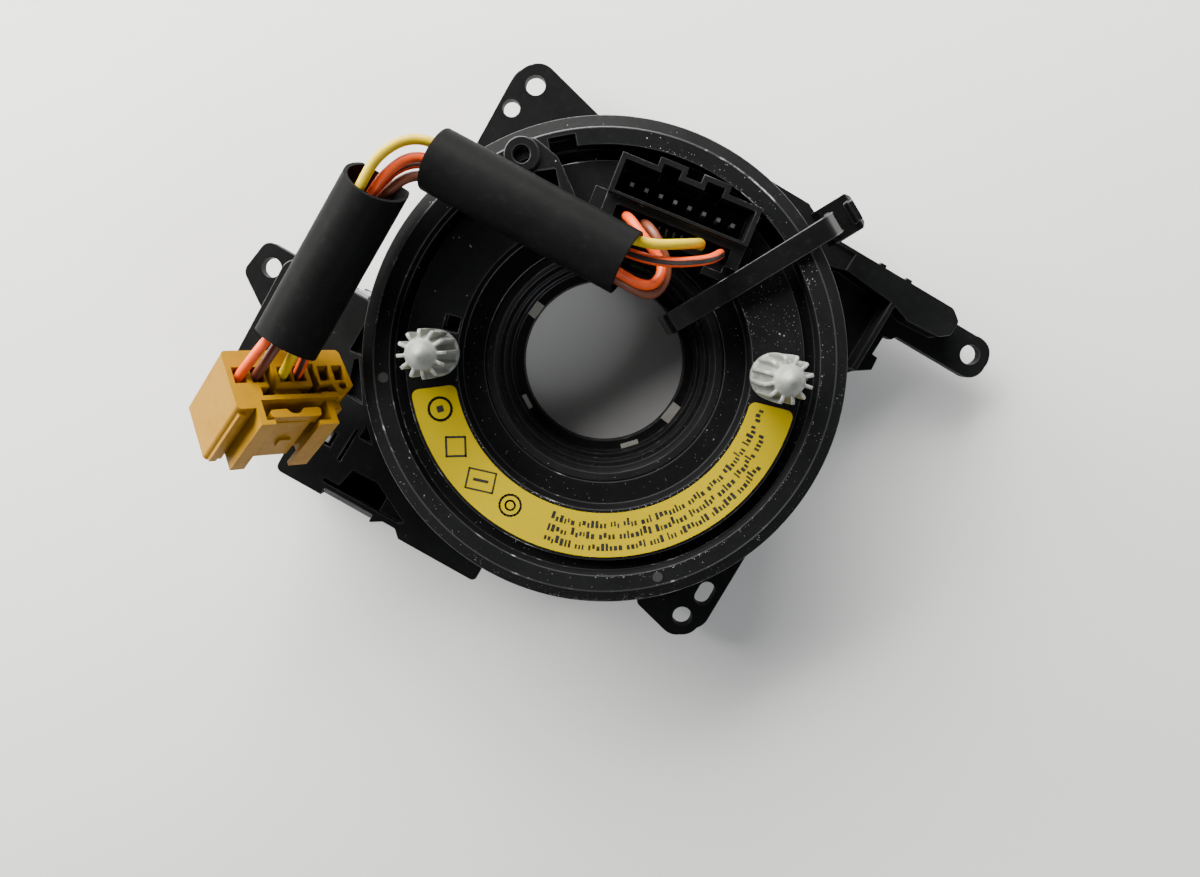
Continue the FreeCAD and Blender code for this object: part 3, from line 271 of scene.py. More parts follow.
dust_specks, source, sink = effect_group("dust_specks", [("Amount", 0.5)], ["Specks", "Film"])
place = dust_specks.nodes.new("ShaderNodeTexCoord").outputs["Object"]
cells = dust_specks.nodes.new("ShaderNodeTexVoronoi")
cells.inputs["Scale"].default_value = 1500.0
dust_specks.links.new(place, cells.inputs["Vector"])
speck = add_range(dust_specks, cells.outputs["Distance"], 0.05, 0.22, 1.0, 0.0)
where = add_noise(dust_specks, place, 260.0, 4.0, 0.65)
more = add_math(dust_specks, "MULTIPLY", source.outputs["Amount"], 0.3)
reach = add_math(dust_specks, "SUBTRACT", 0.78, more)
lit = add_range(dust_specks, where, reach, add_math(dust_specks, "ADD", reach, 0.05))
dust_specks.links.new(add_math(dust_specks, "MULTIPLY", speck, lit, True), sink.inputs["Specks"])
film = add_noise(dust_specks, place, 700.0, 5.0, 0.75)
dust_specks.links.new(add_range(dust_specks, film, 0.52, 0.75), sink.inputs["Film"])

handling_streaks, source, sink = effect_group("handling_streaks", [("Stretch", 14.0)], ["Streaks"])
place = handling_streaks.nodes.new("ShaderNodeTexCoord").outputs["Object"]
turn = handling_streaks.nodes.new("ShaderNodeMapping")
turn.inputs["Rotation"].default_value = (0.35, 0.2, 0.6)
handling_streaks.links.new(place, turn.inputs["Vector"])
pull = handling_streaks.nodes.new("ShaderNodeVectorMath")
pull.operation = "MULTIPLY"
spread = handling_streaks.nodes.new("ShaderNodeCombineXYZ")
handling_streaks.links.new(source.outputs["Stretch"], spread.inputs["X"])
spread.inputs["Y"].default_value = 1.0
spread.inputs["Z"].default_value = 1.0
handling_streaks.links.new(turn.outputs["Vector"], pull.inputs[0])
handling_streaks.links.new(spread.outputs["Vector"], pull.inputs[1])
line = add_noise(handling_streaks, pull.outputs["Vector"], 110.0, 5.0, 0.7)
handling_streaks.links.new(add_range(handling_streaks, line, 0.62, 0.7), sink.inputs["Streaks"])


def use_group(tree, group, **values):
    """Places one effect in a material, with the material's own values."""
    node = tree.nodes.new("ShaderNodeGroup")
    node.node_tree = group
    for label, value in values.items():
        node.inputs[label.replace("_", " ")].default_value = value
    return node


def add_bump(tree, shader, height, depth):
    """Raises the surface's light and shade by a height map, so many metres deep."""
    node = tree.nodes.new("ShaderNodeBump")
    node.inputs["Strength"].default_value = 0.35
    node.inputs["Distance"].default_value = depth
    tree.links.new(height, node.inputs["Height"])
    tree.links.new(node.outputs["Normal"], shader.inputs["Normal"])


print("effects", [g.name for g in bpy.data.node_groups])

# %% [markdown]
# Nearly all of the unit is black nylon. It is never pure black: a soft grain scatters the window light,
# thumbs leave smoother patches, and pale dust sticks in specks. One function builds the finish with its own
# tone, gloss and dust for each piece, so that the rotor can be dustier than the housing.

# %% Black nylon
def black_nylon(name, tone=(0.012, 0.012, 0.013), gloss=(0.36, 0.5), dust=0.5, film=0.05, grain=0.00003,
                shine=0.25):
    """Black plastic with its own tone, roughness range, dust, haze, grain depth and shine."""
    finish, tree, shader = shader_tree(name)
    grain_node = use_group(tree, moulding_grain, Grain_Size=7000.0)
    dust_node = use_group(tree, dust_specks, Amount=dust)
    streak_node = use_group(tree, handling_streaks, Stretch=12.0)
    lighter = tuple(c * 1.9 for c in tone)
    body = mix_colour(tree, grain_node.outputs["Patches"], tone, lighter)
    haze = add_math(tree, "MULTIPLY", dust_node.outputs["Film"], film)
    hazy = mix_colour(tree, haze, body, (0.5, 0.49, 0.47))
    dusty = mix_colour(tree, dust_node.outputs["Specks"], hazy, (0.42, 0.41, 0.39))
    tree.links.new(dusty, shader.inputs["Base Color"])
    rough = add_range(tree, grain_node.outputs["Patches"], 0.3, 0.7, gloss[0], gloss[1])
    rough = add_math(tree, "ADD", rough, add_math(tree, "MULTIPLY", dust_node.outputs["Specks"], 0.4))
    polish = add_math(tree, "MULTIPLY", streak_node.outputs["Streaks"], 0.07)
    rough = add_math(tree, "SUBTRACT", rough, polish, True)
    tree.links.new(rough, shader.inputs["Roughness"])
    add_bump(tree, shader, grain_node.outputs["Height"], grain)
    shader.inputs["Specular IOR Level"].default_value = shine
    return finish


housing_nylon = black_nylon("housing_nylon", (0.0042, 0.0044, 0.0045), (0.4, 0.54), 0.4, 0.008, shine=0.04)
rotor_nylon = black_nylon("rotor_nylon", (0.0042, 0.0044, 0.0045), (0.42, 0.54), 0.6, 0.008, shine=0.04)
hub_nylon = black_nylon("hub_nylon", (0.007, 0.007, 0.0075), (0.4, 0.55), 0.4, 0.01, shine=0.1)
socket_nylon = black_nylon("socket_nylon", (0.0042, 0.0044, 0.0045), (0.42, 0.6), 0.4, 0.006, shine=0.035)

# %% [markdown]
# Moulded edges are where a black part shows its age: handling rubs them pale and the rounding catches the
# window. The narrow strip that the bevel makes gets its own finish. It has a tone paler than the faces all
# along it, which is a painted highlight line, and pale patches broken up by noise, which are partly rubbed
# nylon and partly painted glints.

# %% Edges: painted highlights and worn patches
def worn_and_highlit_edge(name, tone=(0.008, 0.008, 0.0085), rub_and_glint=(0.30, 0.30, 0.29), rub_and_glint_share=0.5, rough=0.34):
    """A rounded black edge in a tone paler than the faces, a painted highlight line, with pale patches that
    are partly rubbed nylon and partly painted glints; a larger share makes more patches.
    """
    finish, tree, shader = shader_tree(name)
    place = tree.nodes.new("ShaderNodeTexCoord").outputs["Object"]
    broken = add_noise(tree, place, 420.0, 5.0, 0.7)
    long_patches = add_noise(tree, place, 60.0, 2.0, 0.5)
    fine_share = add_math(tree, "MULTIPLY", broken, 0.6)
    both = add_math(tree, "ADD", fine_share, add_math(tree, "MULTIPLY", long_patches, 0.4))
    low = 0.66 - 0.22 * rub_and_glint_share
    mask = add_range(tree, both, low, low + 0.07)
    tree.links.new(mix_colour(tree, mask, tone, rub_and_glint), shader.inputs["Base Color"])
    tree.links.new(add_range(tree, mask, 0.0, 1.0, rough, rough + 0.2), shader.inputs["Roughness"])
    shader.inputs["Specular IOR Level"].default_value = 0.3
    return finish


# The paler edge tones and the pale patches set here are painted highlights along the bevelled edges, partly
# rubbed wear.
housing_edge = worn_and_highlit_edge("housing_edge", tone=(0.02, 0.02, 0.021), rub_and_glint=(0.14, 0.14, 0.14), rub_and_glint_share=0.32)
rotor_edge = worn_and_highlit_edge("rotor_edge", tone=(0.022, 0.022, 0.023), rub_and_glint=(0.26, 0.26, 0.25), rub_and_glint_share=0.42)
socket_edge = worn_and_highlit_edge("socket_edge", rub_and_glint=(0.08, 0.08, 0.08), rub_and_glint_share=0.4)

# %% [markdown]
# The CAD pieces have sharp edges, which nothing moulded has. A copy of each is merged, its flat facets are
# dissolved into whole faces, and a bevel rounds what is still sharp. The bevel's new faces take the second
# material slot, which is how an edge finish, such as the worn edges with their painted highlight line, gets
# exactly on the edges and nowhere else. Weighted normals then give the large faces their own direction, so
# that they shade flat right up to the rounding.

# %% Rounding a copy of a CAD piece
WELD = 0.000002
SMOOTH_UP_TO = math.radians(28.0)


def apply_new(piece, kind, name, **settings):
    """Adds one modifier with its settings to the active piece and applies it."""
    modifier = piece.modifiers.new(name, kind)
    for label, value in settings.items():
        setattr(modifier, label, value)
    bpy.ops.object.modifier_apply(modifier=modifier.name)


def weld(piece, flatten=False):
    """Merges the loose triangles' corners, and dissolves the lines that lie inside flat faces."""
    bpy.ops.object.mode_set(mode="EDIT")
    bpy.ops.mesh.select_all(action="SELECT")
    bpy.ops.mesh.remove_doubles(threshold=WELD)
    if flatten:
        bpy.ops.mesh.dissolve_limited(angle_limit=math.radians(0.6))
    bpy.ops.object.mode_set(mode="OBJECT")


def return_strays(piece, source, reach):
    """A bevel can throw out a corner where narrow edges meet; such a corner goes back onto the solid."""
    solid = BVHTree.FromPolygons([v.co for v in source.data.vertices],
                                 [f.vertices for f in source.data.polygons])
    for corner in piece.data.vertices:
        nearest, _, _, gap = solid.find_nearest(corner.co)
        if gap > reach:
            corner.co = nearest


def moulded_copy(node, name, width, faces, edges, angle=32.0, steps=2, clamp=False, cutter=None):
    """A rounded stand-in for one CAD piece; a cutter, if given, first takes some of it away."""
    source = frame["nodes"][node]
    pick(source)
    bpy.ops.object.duplicate()
    piece = bpy.context.object
    piece.name = name
    pick(piece)
    weld(piece)
    if cutter:
        apply_new(piece, "BOOLEAN", "trim", operation="DIFFERENCE", solver="EXACT", object=cutter)
        bpy.data.objects.remove(cutter)
    weld(piece, flatten=True)
    piece.data.materials.clear()
    piece.data.materials.append(faces)
    piece.data.materials.append(edges)
    for face in piece.data.polygons:
        face.material_index = 0
    apply_new(piece, "BEVEL", "moulded_edge", width=width, segments=steps, limit_method="ANGLE",
              angle_limit=math.radians(angle), use_clamp_overlap=clamp, material=1, miter_outer="MITER_ARC")
    if not cutter:
        return_strays(piece, source, 2.0 * width)
    bpy.ops.object.shade_smooth_by_angle(angle=SMOOTH_UP_TO)
    apply_new(piece, "WEIGHTED_NORMAL", "flat_first", weight=100, keep_sharp=True)
    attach(piece, BODY_OF[node])
    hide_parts(node)
    print(name, "faces", len(piece.data.polygons))


# %% [markdown]
# The four fixing ears are faced flat round their holes, as a spot facing tool leaves them. One cylinder
# stands on each ear, the four are joined into a single cutter, and a Boolean takes away what rises above
# the ears' top. The cylinders' lower faces lie exactly in that top, so no step is left.

# %% Housing and other black mouldings
EARS = [(-35.8, 37.0), (37.3, -34.7), (-61.9, -15.7), (58.4, 35.2)]
EAR_TOP, FACING_R, FACING_H = 7.5, 3.9, 1.5


def joined(pieces, name):
    """One piece made of several, with its place in its mesh."""
    clear_selection()
    for piece in pieces:
        piece.select_set(True)
    bpy.context.view_layer.objects.active = pieces[-1]
    bpy.ops.object.join()
    whole = bpy.context.object
    whole.name = name
    bpy.ops.object.transform_apply(location=True, rotation=True, scale=True)
    return whole


cylinders = []
for x, y in EARS:
    clear_selection()
    bpy.ops.mesh.primitive_cylinder_add(vertices=64, radius=FACING_R * MM, depth=FACING_H * MM,
                                        location=at(x, y, EAR_TOP + FACING_H / 2))
    cylinders.append(bpy.context.object)
moulded_copy("stator_housing", "housing_shell", 0.00014, housing_nylon, housing_edge,
             cutter=joined(cylinders, "facing_tool"))
moulded_copy("rotor_disc", "turning_disc", 0.00016, rotor_nylon, rotor_edge)
moulded_copy("socket_block", "wheel_socket", 0.00012, socket_nylon, socket_edge)
moulded_copy("rotor_hub", "hub_sleeve", 0.00014, hub_nylon, housing_edge)
moulded_copy("base_cover", "bottom_cover", 0.0002, housing_nylon, housing_edge, clamp=True)
moulded_copy("vehicle_socket", "column_socket", 0.00015, socket_nylon, housing_edge)

# %% [markdown]
# The plug is golden yellow nylon, a little glossy, with darker dirt in patches where fingers and grease have
# been. Its upright sides are darkened further by their direction, broken up by the same noise: that is
# painted shade. The lock is the same plastic from another mould, slightly deeper in colour. A little
# subsurface scattering keeps the yellow warm in the shade, as light travels a short way into such a plastic.
# The bevel is
# clamped here: the chambers' walls are thin, and a free bevel would cross itself.

# %% Plug finishes
def golden_nylon(name, base, dirt_and_shade_colour, rough=0.36):
    """Moulded yellow with patches of dirt, and darker on its upright sides than on its top as painted shade.
    """
    finish, tree, shader = shader_tree(name)
    grain_node = use_group(tree, moulding_grain, Grain_Size=5000.0)
    place = tree.nodes.new("ShaderNodeTexCoord").outputs["Object"]
    smudge = add_noise(tree, place, 260.0, 6.0, 0.7)
    mask = add_range(tree, smudge, 0.5, 0.8, 0.0, 0.55)
    # Upright faces get darker by the direction they face: painted shade, broken up by the smudge noise.
    facing = tree.nodes.new("ShaderNodeSeparateXYZ")
    tree.links.new(tree.nodes.new("ShaderNodeNewGeometry").outputs["Normal"], facing.inputs["Vector"])
    painted_side_shade = add_range(tree, facing.outputs["Z"], 0.2, 0.7, 0.55, 0.0)
    broken_side_shade = add_math(tree, "MULTIPLY", painted_side_shade, add_range(tree, smudge, 0.25, 0.6))
    side_shaded_colour = mix_colour(tree, broken_side_shade, base, dirt_and_shade_colour)
    tree.links.new(mix_colour(tree, mask, side_shaded_colour, dirt_and_shade_colour), shader.inputs["Base Color"])
    tree.links.new(add_range(tree, smudge, 0.3, 0.8, rough, rough + 0.2), shader.inputs["Roughness"])
    shader.inputs["Specular IOR Level"].default_value = 0.1
    shader.inputs["Subsurface Weight"].default_value = 0.06
    shader.inputs["Subsurface Radius"].default_value = (0.0012, 0.0006, 0.0002)
    shader.inputs["Subsurface Scale"].default_value = 1.0
    add_bump(tree, shader, grain_node.outputs["Height"], 0.00002)
    return finish


plug_yellow = golden_nylon("plug_yellow", (0.30, 0.148, 0.0012), (0.17, 0.082, 0.004))
lock_yellow = golden_nylon("lock_yellow", (0.28, 0.135, 0.0012), (0.16, 0.076, 0.004))
plug_edge = golden_nylon("plug_edge", (0.36, 0.19, 0.003), (0.26, 0.13, 0.006), 0.3)
moulded_copy("airbag_plug", "yellow_plug", 0.0001, plug_yellow, plug_edge, clamp=True)
moulded_copy("plug_lock", "yellow_lock", 0.0001, lock_yellow, plug_edge, clamp=True)

# %% [markdown]
# The drive pins are milky grey plastic that lets some light in, so their finish has subsurface scattering.
# Each is a core turned from a profile with the Screw modifier, and twelve thin ribs round it. The ribs meet
# the dome at many small angles, where a bevel would tangle, so the joined solid gets a fine voxel remesh
# and a light smoothing, which round every edge alike, as the flow of the plastic does.

# %% Drive pins
pin_plastic, tree, shader = shader_tree("pin_plastic")
grain_node = use_group(tree, moulding_grain, Grain_Size=2600.0)
place = tree.nodes.new("ShaderNodeTexCoord").outputs["Object"]
veil = add_noise(tree, place, 330.0, 5.0, 0.65)
tree.links.new(mix_colour(tree, add_range(tree, veil, 0.35, 0.7), (0.15, 0.16, 0.145), (0.26, 0.265, 0.24)),
               shader.inputs["Base Color"])
tree.links.new(add_range(tree, veil, 0.3, 0.7, 0.34, 0.52), shader.inputs["Roughness"])
shader.inputs["Subsurface Weight"].default_value = 0.4
shader.inputs["Subsurface Radius"].default_value = (0.0015, 0.0015, 0.0013)
shader.inputs["Subsurface Scale"].default_value = 1.0
add_bump(tree, shader, grain_node.outputs["Height"], 0.00003)


PIN_PROFILE = [(0.0, 28.1), (3.95, 28.1), (3.95, 29.3), (3.5, 29.7), (3.2, 33.0), (2.9, 38.0), (2.75, 40.6),
               (2.4, 41.9), (1.6, 43.0), (0.7, 43.75), (0.3, 43.97), (0.0, 44.0)]
RIB_PROFILE = [(1.4, 28.6), (3.95, 28.6), (3.95, 36.0), (3.85, 41.3), (3.3, 41.9), (1.4, 42.0)]
RIB_COUNT, RIB_HALF = 12, 0.27


def mesh_piece(name, points, edges, faces):
    """A new object from points in metres, linked to the scene."""
    mesh = bpy.data.meshes.new(name)
    mesh.from_pydata(points, edges, faces)
    piece = bpy.data.objects.new(name, mesh)
    bpy.context.scene.collection.objects.link(piece)
    return piece


def turned_core(name, x, y):
    """The pin's body: its half outline, spun once round the pin's own axis by the Screw modifier."""
    outline = [at(x + r, y, z) for r, z in PIN_PROFILE]
    core = mesh_piece(name, outline, [(k, k + 1) for k in range(len(outline) - 1)], [])
    pick(core)
    bpy.context.scene.cursor.location = at(x, y, 0)
    bpy.ops.object.origin_set(type="ORIGIN_CURSOR")
    bpy.context.scene.cursor.location = (0, 0, 0)
    apply_new(core, "SCREW", "lathe", steps=64, render_steps=64, use_merge_vertices=True,
              merge_threshold=0.00001)
    bpy.ops.object.transform_apply(location=True, rotation=False, scale=False)
    return core


def rib_ring(name, x, y, turn):
    """Thin upright plates round the axis, each a pair of equal outlines with a rim between them."""
    points, faces = [], []
    n = len(RIB_PROFILE)
    for k in range(RIB_COUNT):
        angle = math.radians(turn) + k * math.tau / RIB_COUNT
        c, s = math.cos(angle), math.sin(angle)
        start = len(points)
        for half in (-RIB_HALF, RIB_HALF):
            points += [at(x + r * c - half * s, y + r * s + half * c, z) for r, z in RIB_PROFILE]
        faces += [tuple(start + q for q in range(n))[::-1], tuple(start + n + q for q in range(n))]
        faces += [(start + q, start + (q + 1) % n, start + n + (q + 1) % n, start + n + q) for q in range(n)]
    return mesh_piece(name, points, [], faces)


def drive_pin(node, name, turn):
    """A domed core and thin ribs round it that end just below the tip."""
    spots = [corner[:2] for corner in frame["nodes"][node].bound_box]
    x = sum(spot[0] for spot in spots) / 8 / MM
    y = sum(spot[1] for spot in spots) / 8 / MM
    core = turned_core(name, x, y)
    pin = joined([rib_ring(name + "_ribs", x, y, turn), core], name)
    pick(pin)
    apply_new(pin, "REMESH", "even_grid", mode="VOXEL", voxel_size=0.00012)
    apply_new(pin, "SMOOTH", "relax", factor=0.5, iterations=2)
    bpy.ops.object.shade_smooth()
    pin.data.materials.clear()
    pin.data.materials.append(pin_plastic)
    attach(pin, BODY_OF[node])
    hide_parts(node)
    print(name, "faces", len(pin.data.polygons))


drive_pin("drive_pin_left", "left_drive_pin", 4.0)
drive_pin("drive_pin_right", "right_drive_pin", 11.0)

# %% [markdown]
# The cable tie is smooth nylon, glossier than the mouldings round it, because its mould is polished so that
# the strap slides through its lock. Its edges are rounder too, so the bevel has one step more.

# %% Cable tie
tie_nylon = black_nylon("tie_nylon", (0.003, 0.003, 0.0032), (0.12, 0.22), 0.2, 0.01, 0.00001, 0.22)
# The tie's edge strip is paler too: a painted highlight line with pale patches, partly rubbed wear.
tie_edge = worn_and_highlit_edge("tie_edge", rub_and_glint=(0.12, 0.12, 0.12), rub_and_glint_share=0.3, rough=0.22)
moulded_copy("cable_tie", "nylon_tie", 0.00025, tie_nylon, tie_edge, steps=3)

# %% [markdown]
# The leads are soft insulated wires. They leave their slot in the socket, pass both sleeves and end in the
# plug's own chambers. A mesh tube could follow the same way, but one NURBS curve for each lead bends as a
# limp wire does, with no corners, and its round section needs a radius only. One lead has a dark stripe,
# which the curve's own section coordinate places.

# %% Leads
def wire_finish(name, base, deep, rough=0.3, stripe=None):
    """Coloured insulation; a stripe runs along the wire where its section's own coordinate says so."""
    finish, tree, shader = shader_tree(name)
    coordinates = tree.nodes.new("ShaderNodeTexCoord")
    place = coordinates.outputs["Object"]
    smudge = add_noise(tree, place, 420.0, 5.0, 0.65)
    colour = mix_colour(tree, add_range(tree, smudge, 0.42, 0.72, 0.0, 0.6), base, deep)
    if stripe:
        split = tree.nodes.new("ShaderNodeSeparateXYZ")
        tree.links.new(coordinates.outputs["UV"], split.inputs["Vector"])
        off_middle = add_math(tree, "ABSOLUTE", add_math(tree, "SUBTRACT", split.outputs["Y"], 0.5))
        off_middle = add_math(tree, "ABSOLUTE", add_math(tree, "SUBTRACT", off_middle, stripe[0]))
        ragged = add_math(tree, "ADD", off_middle, add_math(tree, "MULTIPLY", smudge, 0.05))
        colour = mix_colour(tree, add_range(tree, ragged, 0.095, 0.11, 1.0, 0.0), colour, stripe[1])
    tree.links.new(colour, shader.inputs["Base Color"])
    tree.links.new(add_range(tree, smudge, 0.3, 0.8, rough, rough + 0.18), shader.inputs["Roughness"])
    shader.inputs["Specular IOR Level"].default_value = 0.3
    return finish


# Where each lead leaves the slot, and the knots of its way from there: over the slot, through the upper
# sleeve, round the bend, through the lower sleeve and into its own chamber of the plug.
ENTRIES = {"yellow": (3.86, 24.59, 24.8), "striped": (7.32, 25.09, 24.8), "orange": (-9.5, 22.67, 24.8),
           "brown": (-6.24, 23.14, 24.8)}
ROUTES = {
    "yellow": [
        (3.9, 24.7, 32.0), (1.5, 22.4, 38.0), (-4.2, 18.7, 40.3), (-12.5, 17.9, 39.8),
        (-24.0, 17.0, 39.4), (-36.0, 16.5, 37.7), (-42.0, 15.9, 38.5), (-45.6, 11.0, 38.8),
        (-45.8, 4.5, 38.7), (-44.9, -5.5, 38.4), (-44.0, -15.0, 37.2), (-43.43, -25.37, 34.1),
        (-44.8, -29.98, 30.51)],
    "striped": [
        (7.4, 25.1, 31.2), (5.6, 21.9, 36.6), (-1.0, 17.6, 38.6), (-9.0, 16.2, 37.6),
        (-22.0, 14.4, 35.6), (-35.0, 13.8, 33.3), (-41.0, 13.4, 33.5), (-44.5, 8.8, 33.7),
        (-44.6, 2.5, 33.3), (-43.1, -6.5, 33.2), (-43.6, -15.0, 34.2), (-41.87, -24.48, 32.36),
        (-43.24, -29.09, 28.77)],
    "orange": [
        (-9.3, 22.7, 30.6), (-5.0, 20.6, 33.4), (0.6, 18.2, 33.8), (0.2, 13.6, 36.6),
        (-6.5, 13.2, 40.7), (-20.0, 14.2, 39.5), (-35.5, 14.2, 36.8), (-41.2, 13.6, 37.4),
        (-43.9, 8.6, 37.4), (-44.3, 2.5, 36.9), (-46.5, -7.5, 36.4), (-46.8, -17.5, 36.2),
        (-48.0, -27.97, 39.17), (-49.36, -32.58, 35.58)],
    "brown": [
        (-6.0, 23.1, 29.9), (-2.6, 21.5, 32.2), (1.6, 18.0, 31.8), (1.4, 12.8, 34.2),
        (-4.6, 12.4, 37.9), (-12.0, 12.0, 38.2), (-22.5, 11.8, 37.2), (-34.0, 12.1, 35.6),
        (-39.8, 11.4, 35.9), (-42.6, 7.0, 35.9), (-43.4, 1.0, 35.2), (-45.2, -8.0, 34.7),
        (-45.8, -16.5, 34.3), (-46.25, -26.98, 37.23), (-47.61, -31.59, 33.64)],
}
WIRE_R = 0.8


def lead_curve(name, points, radius):
    """One open NURBS curve with a round section, in metres."""
    curve = bpy.data.curves.new(name, "CURVE")
    curve.dimensions = "3D"
    line = curve.splines.new("NURBS")
    line.points.add(len(points) - 1)
    for knot, point in zip(line.points, points):
        knot.co = (*at(*point), 1.0)
    line.order_u = 3
    line.use_endpoint_u = True
    line.resolution_u = 10
    curve.bevel_depth = radius * MM
    curve.bevel_resolution = 6
    lead = bpy.data.objects.new(name, curve)
    bpy.context.scene.collection.objects.link(lead)
    return lead


lead_colours = {
    "orange": wire_finish("orange_insulation", (0.80, 0.085, 0.008), (0.5, 0.045, 0.006)),
    "striped": wire_finish("striped_insulation", (0.78, 0.08, 0.008), (0.48, 0.042, 0.006),
                           stripe=(0.25, (0.03, 0.022, 0.02))),
    "brown": wire_finish("brown_insulation", (0.16, 0.045, 0.022), (0.09, 0.025, 0.014)),
    "yellow": wire_finish("yellow_insulation", (0.60, 0.42, 0.0), (0.44, 0.29, 0.001)),
}
for name, route in ROUTES.items():
    lead = lead_curve(name + "_lead", [ENTRIES[name]] + route, WIRE_R)
    lead.data.materials.append(lead_colours[name])
    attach(lead, "rotor")
    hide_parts("wire_" + name)

# %% [markdown]
# The sleeves are cut lengths of soft black tube slipped over the leads. The lower one was cut at a slant,
# so its mouth opens towards the view and shows the leads going in: a block takes that end off the copy at
# an angle.

# %% Sleeves
sleeve_rubber = black_nylon("sleeve_rubber", (0.0038, 0.0039, 0.0039), (0.42, 0.52), 0.3, 0.008, 0.00002,
                            shine=0.025)


SLANT = 24.0
SHORTER_BY = 1.3
BLOCK = 30.0


def slant_tool(mouth, along, lean):
    """A block whose face passes through the sleeve's mouth, leaning by so many degrees towards the view."""
    up = (Vector((0, 0, 1)) - along * along.z).normalized()
    cut_face = (along * math.cos(math.radians(lean)) + up * math.sin(math.radians(lean))).normalized()
    clear_selection()
    bpy.ops.mesh.primitive_cube_add(size=BLOCK * MM, location=mouth + cut_face * BLOCK / 2 * MM,
                                    rotation=cut_face.to_track_quat("Z", "Y").to_euler())
    tool = bpy.context.object
    bpy.ops.object.transform_apply(location=True, rotation=True, scale=True)
    return tool


def upper_end(node):
    """The middle of a sleeve's end ring on its +Y side, and the direction out of it."""
    spots = [v.co.copy() for v in frame["nodes"][node].data.vertices]
    middle = sum(spots, Vector()) / len(spots)
    far = [v for v in spots if v.y > middle.y]
    near = [v for v in spots if v.y <= middle.y]
    first, second = sum(far, Vector()) / len(far), sum(near, Vector()) / len(near)
    return first, (first - second).normalized()


mouth, along = upper_end("sleeve_lower")
moulded_copy("sleeve_upper", "upper_sleeve", 0.00012, sleeve_rubber, sleeve_rubber, clamp=True)
moulded_copy("sleeve_lower", "lower_sleeve", 0.00012, sleeve_rubber, sleeve_rubber, clamp=True,
             cutter=slant_tool(mouth - along * SHORTER_BY * MM, along, SLANT))

# %% [markdown]
# Everything else keeps its CAD shape and gets its own finish: the yellow sheet of the label, tin on the
# contacts, zinc on the screws, and the board, chips, gears, magnets and flat cable that only show when the
# unit is opened. Each is two near tones that a noise pattern mixes, with its roughness varied by the same
# pattern, so that no face is one flat colour.

# %% Finishes of the small and inner pieces
def plain_finish(name, a, b, rough, metallic=0.0, scale=300.0, shine=0.4):
    """Two near tones in patches of the given scale."""
    finish, tree, shader = shader_tree(name)
    place = tree.nodes.new("ShaderNodeTexCoord").outputs["Object"]
    patch = add_noise(tree, place, scale, 4.0, 0.6)
    tree.links.new(mix_colour(tree, add_range(tree, patch, 0.35, 0.65), a, b), shader.inputs["Base Color"])
    tree.links.new(add_range(tree, patch, 0.3, 0.7, rough, rough + 0.12), shader.inputs["Roughness"])
    shader.inputs["Metallic"].default_value = metallic
    shader.inputs["Specular IOR Level"].default_value = shine
    return finish


label_paper = plain_finish("label_paper", (0.37, 0.28, 0.0), (0.34, 0.25, 0.0), 0.4, scale=90.0, shine=0.04)
screw_zinc = plain_finish("screw_zinc", (0.45, 0.45, 0.46), (0.55, 0.54, 0.52), 0.28, 1.0)
pin_tin = plain_finish("pin_tin", (0.52, 0.50, 0.46), (0.62, 0.60, 0.56), 0.25, 1.0)
latch_grey = plain_finish("latch_grey", (0.20, 0.20, 0.21), (0.26, 0.26, 0.27), 0.4)
gear_white = plain_finish("gear_white", (0.66, 0.64, 0.58), (0.72, 0.70, 0.65), 0.36)
magnet_grey = plain_finish("magnet_grey", (0.06, 0.06, 0.065), (0.09, 0.09, 0.09), 0.45, 0.6)
board_green = plain_finish("board_green", (0.02, 0.10, 0.05), (0.03, 0.14, 0.07), 0.3)
chip_black = plain_finish("chip_black", (0.02, 0.02, 0.02), (0.03, 0.03, 0.03), 0.5)
clip_pale = plain_finish("clip_pale", (0.46, 0.45, 0.40), (0.36, 0.35, 0.32), 0.4)
film_copper = plain_finish("film_copper", (0.25, 0.18, 0.10), (0.32, 0.24, 0.14), 0.3)
CARRIED = {
    "yellow_label": label_paper, "base_screws": screw_zinc,
    "cover_latch": latch_grey, "bore_clips": clip_pale,
    "socket_pins": pin_tin, "vehicle_pins": pin_tin, "plug_terminals": pin_tin,
    "main_gear": gear_white, "measuring_gear_a": gear_white, "measuring_gear_b": gear_white,
    "magnet_a": magnet_grey, "magnet_b": magnet_grey,
    "circuit_board": board_green, "sensor_chips": chip_black, "ribbon_cable": film_copper,
}
for node, finish in CARRIED.items():
    solid = frame["nodes"][node]
    solid.data.materials.clear()
    solid.data.materials.append(finish)
print("carried over", len(CARRIED), "nodes")

# %% [markdown]
# The label carries a plain pattern: three curved rows of short strokes, and before them a few rings and
# squares made of bars. Each mark is a flat outline in the label's own plane, and one Solidify modifier
# gives all of them the thickness of ink.

# %% Label print
LABEL_FACE = max((v.co.z for v in frame["nodes"]["yellow_label"].data.vertices)) / MM
INK = 0.02


def polar(radius, degrees):
    """A point of the drawing's plane, from its distance to the axis and its angle."""
    return radius * math.cos(math.radians(degrees)), radius * math.sin(math.radians(degrees))


def slab(x, y, width, height, turn):
    """Corners of a rectangle round (x, y), turned by so many degrees."""
    c, s = math.cos(math.radians(turn)), math.sin(math.radians(turn))
    w, h = width / 2, height / 2
    return [(x + u * c - v * s, y + u * s + v * c) for u, v in ((-w, -h), (w, -h), (w, h), (-w, h))]


def bar_between(a, b, width):
    """A straight stroke from one point to another."""
    turn = math.degrees(math.atan2(b[1] - a[1], b[0] - a[0]))
    return slab((a[0] + b[0]) / 2, (a[1] + b[1]) / 2, math.dist(a, b) + width, width, turn)


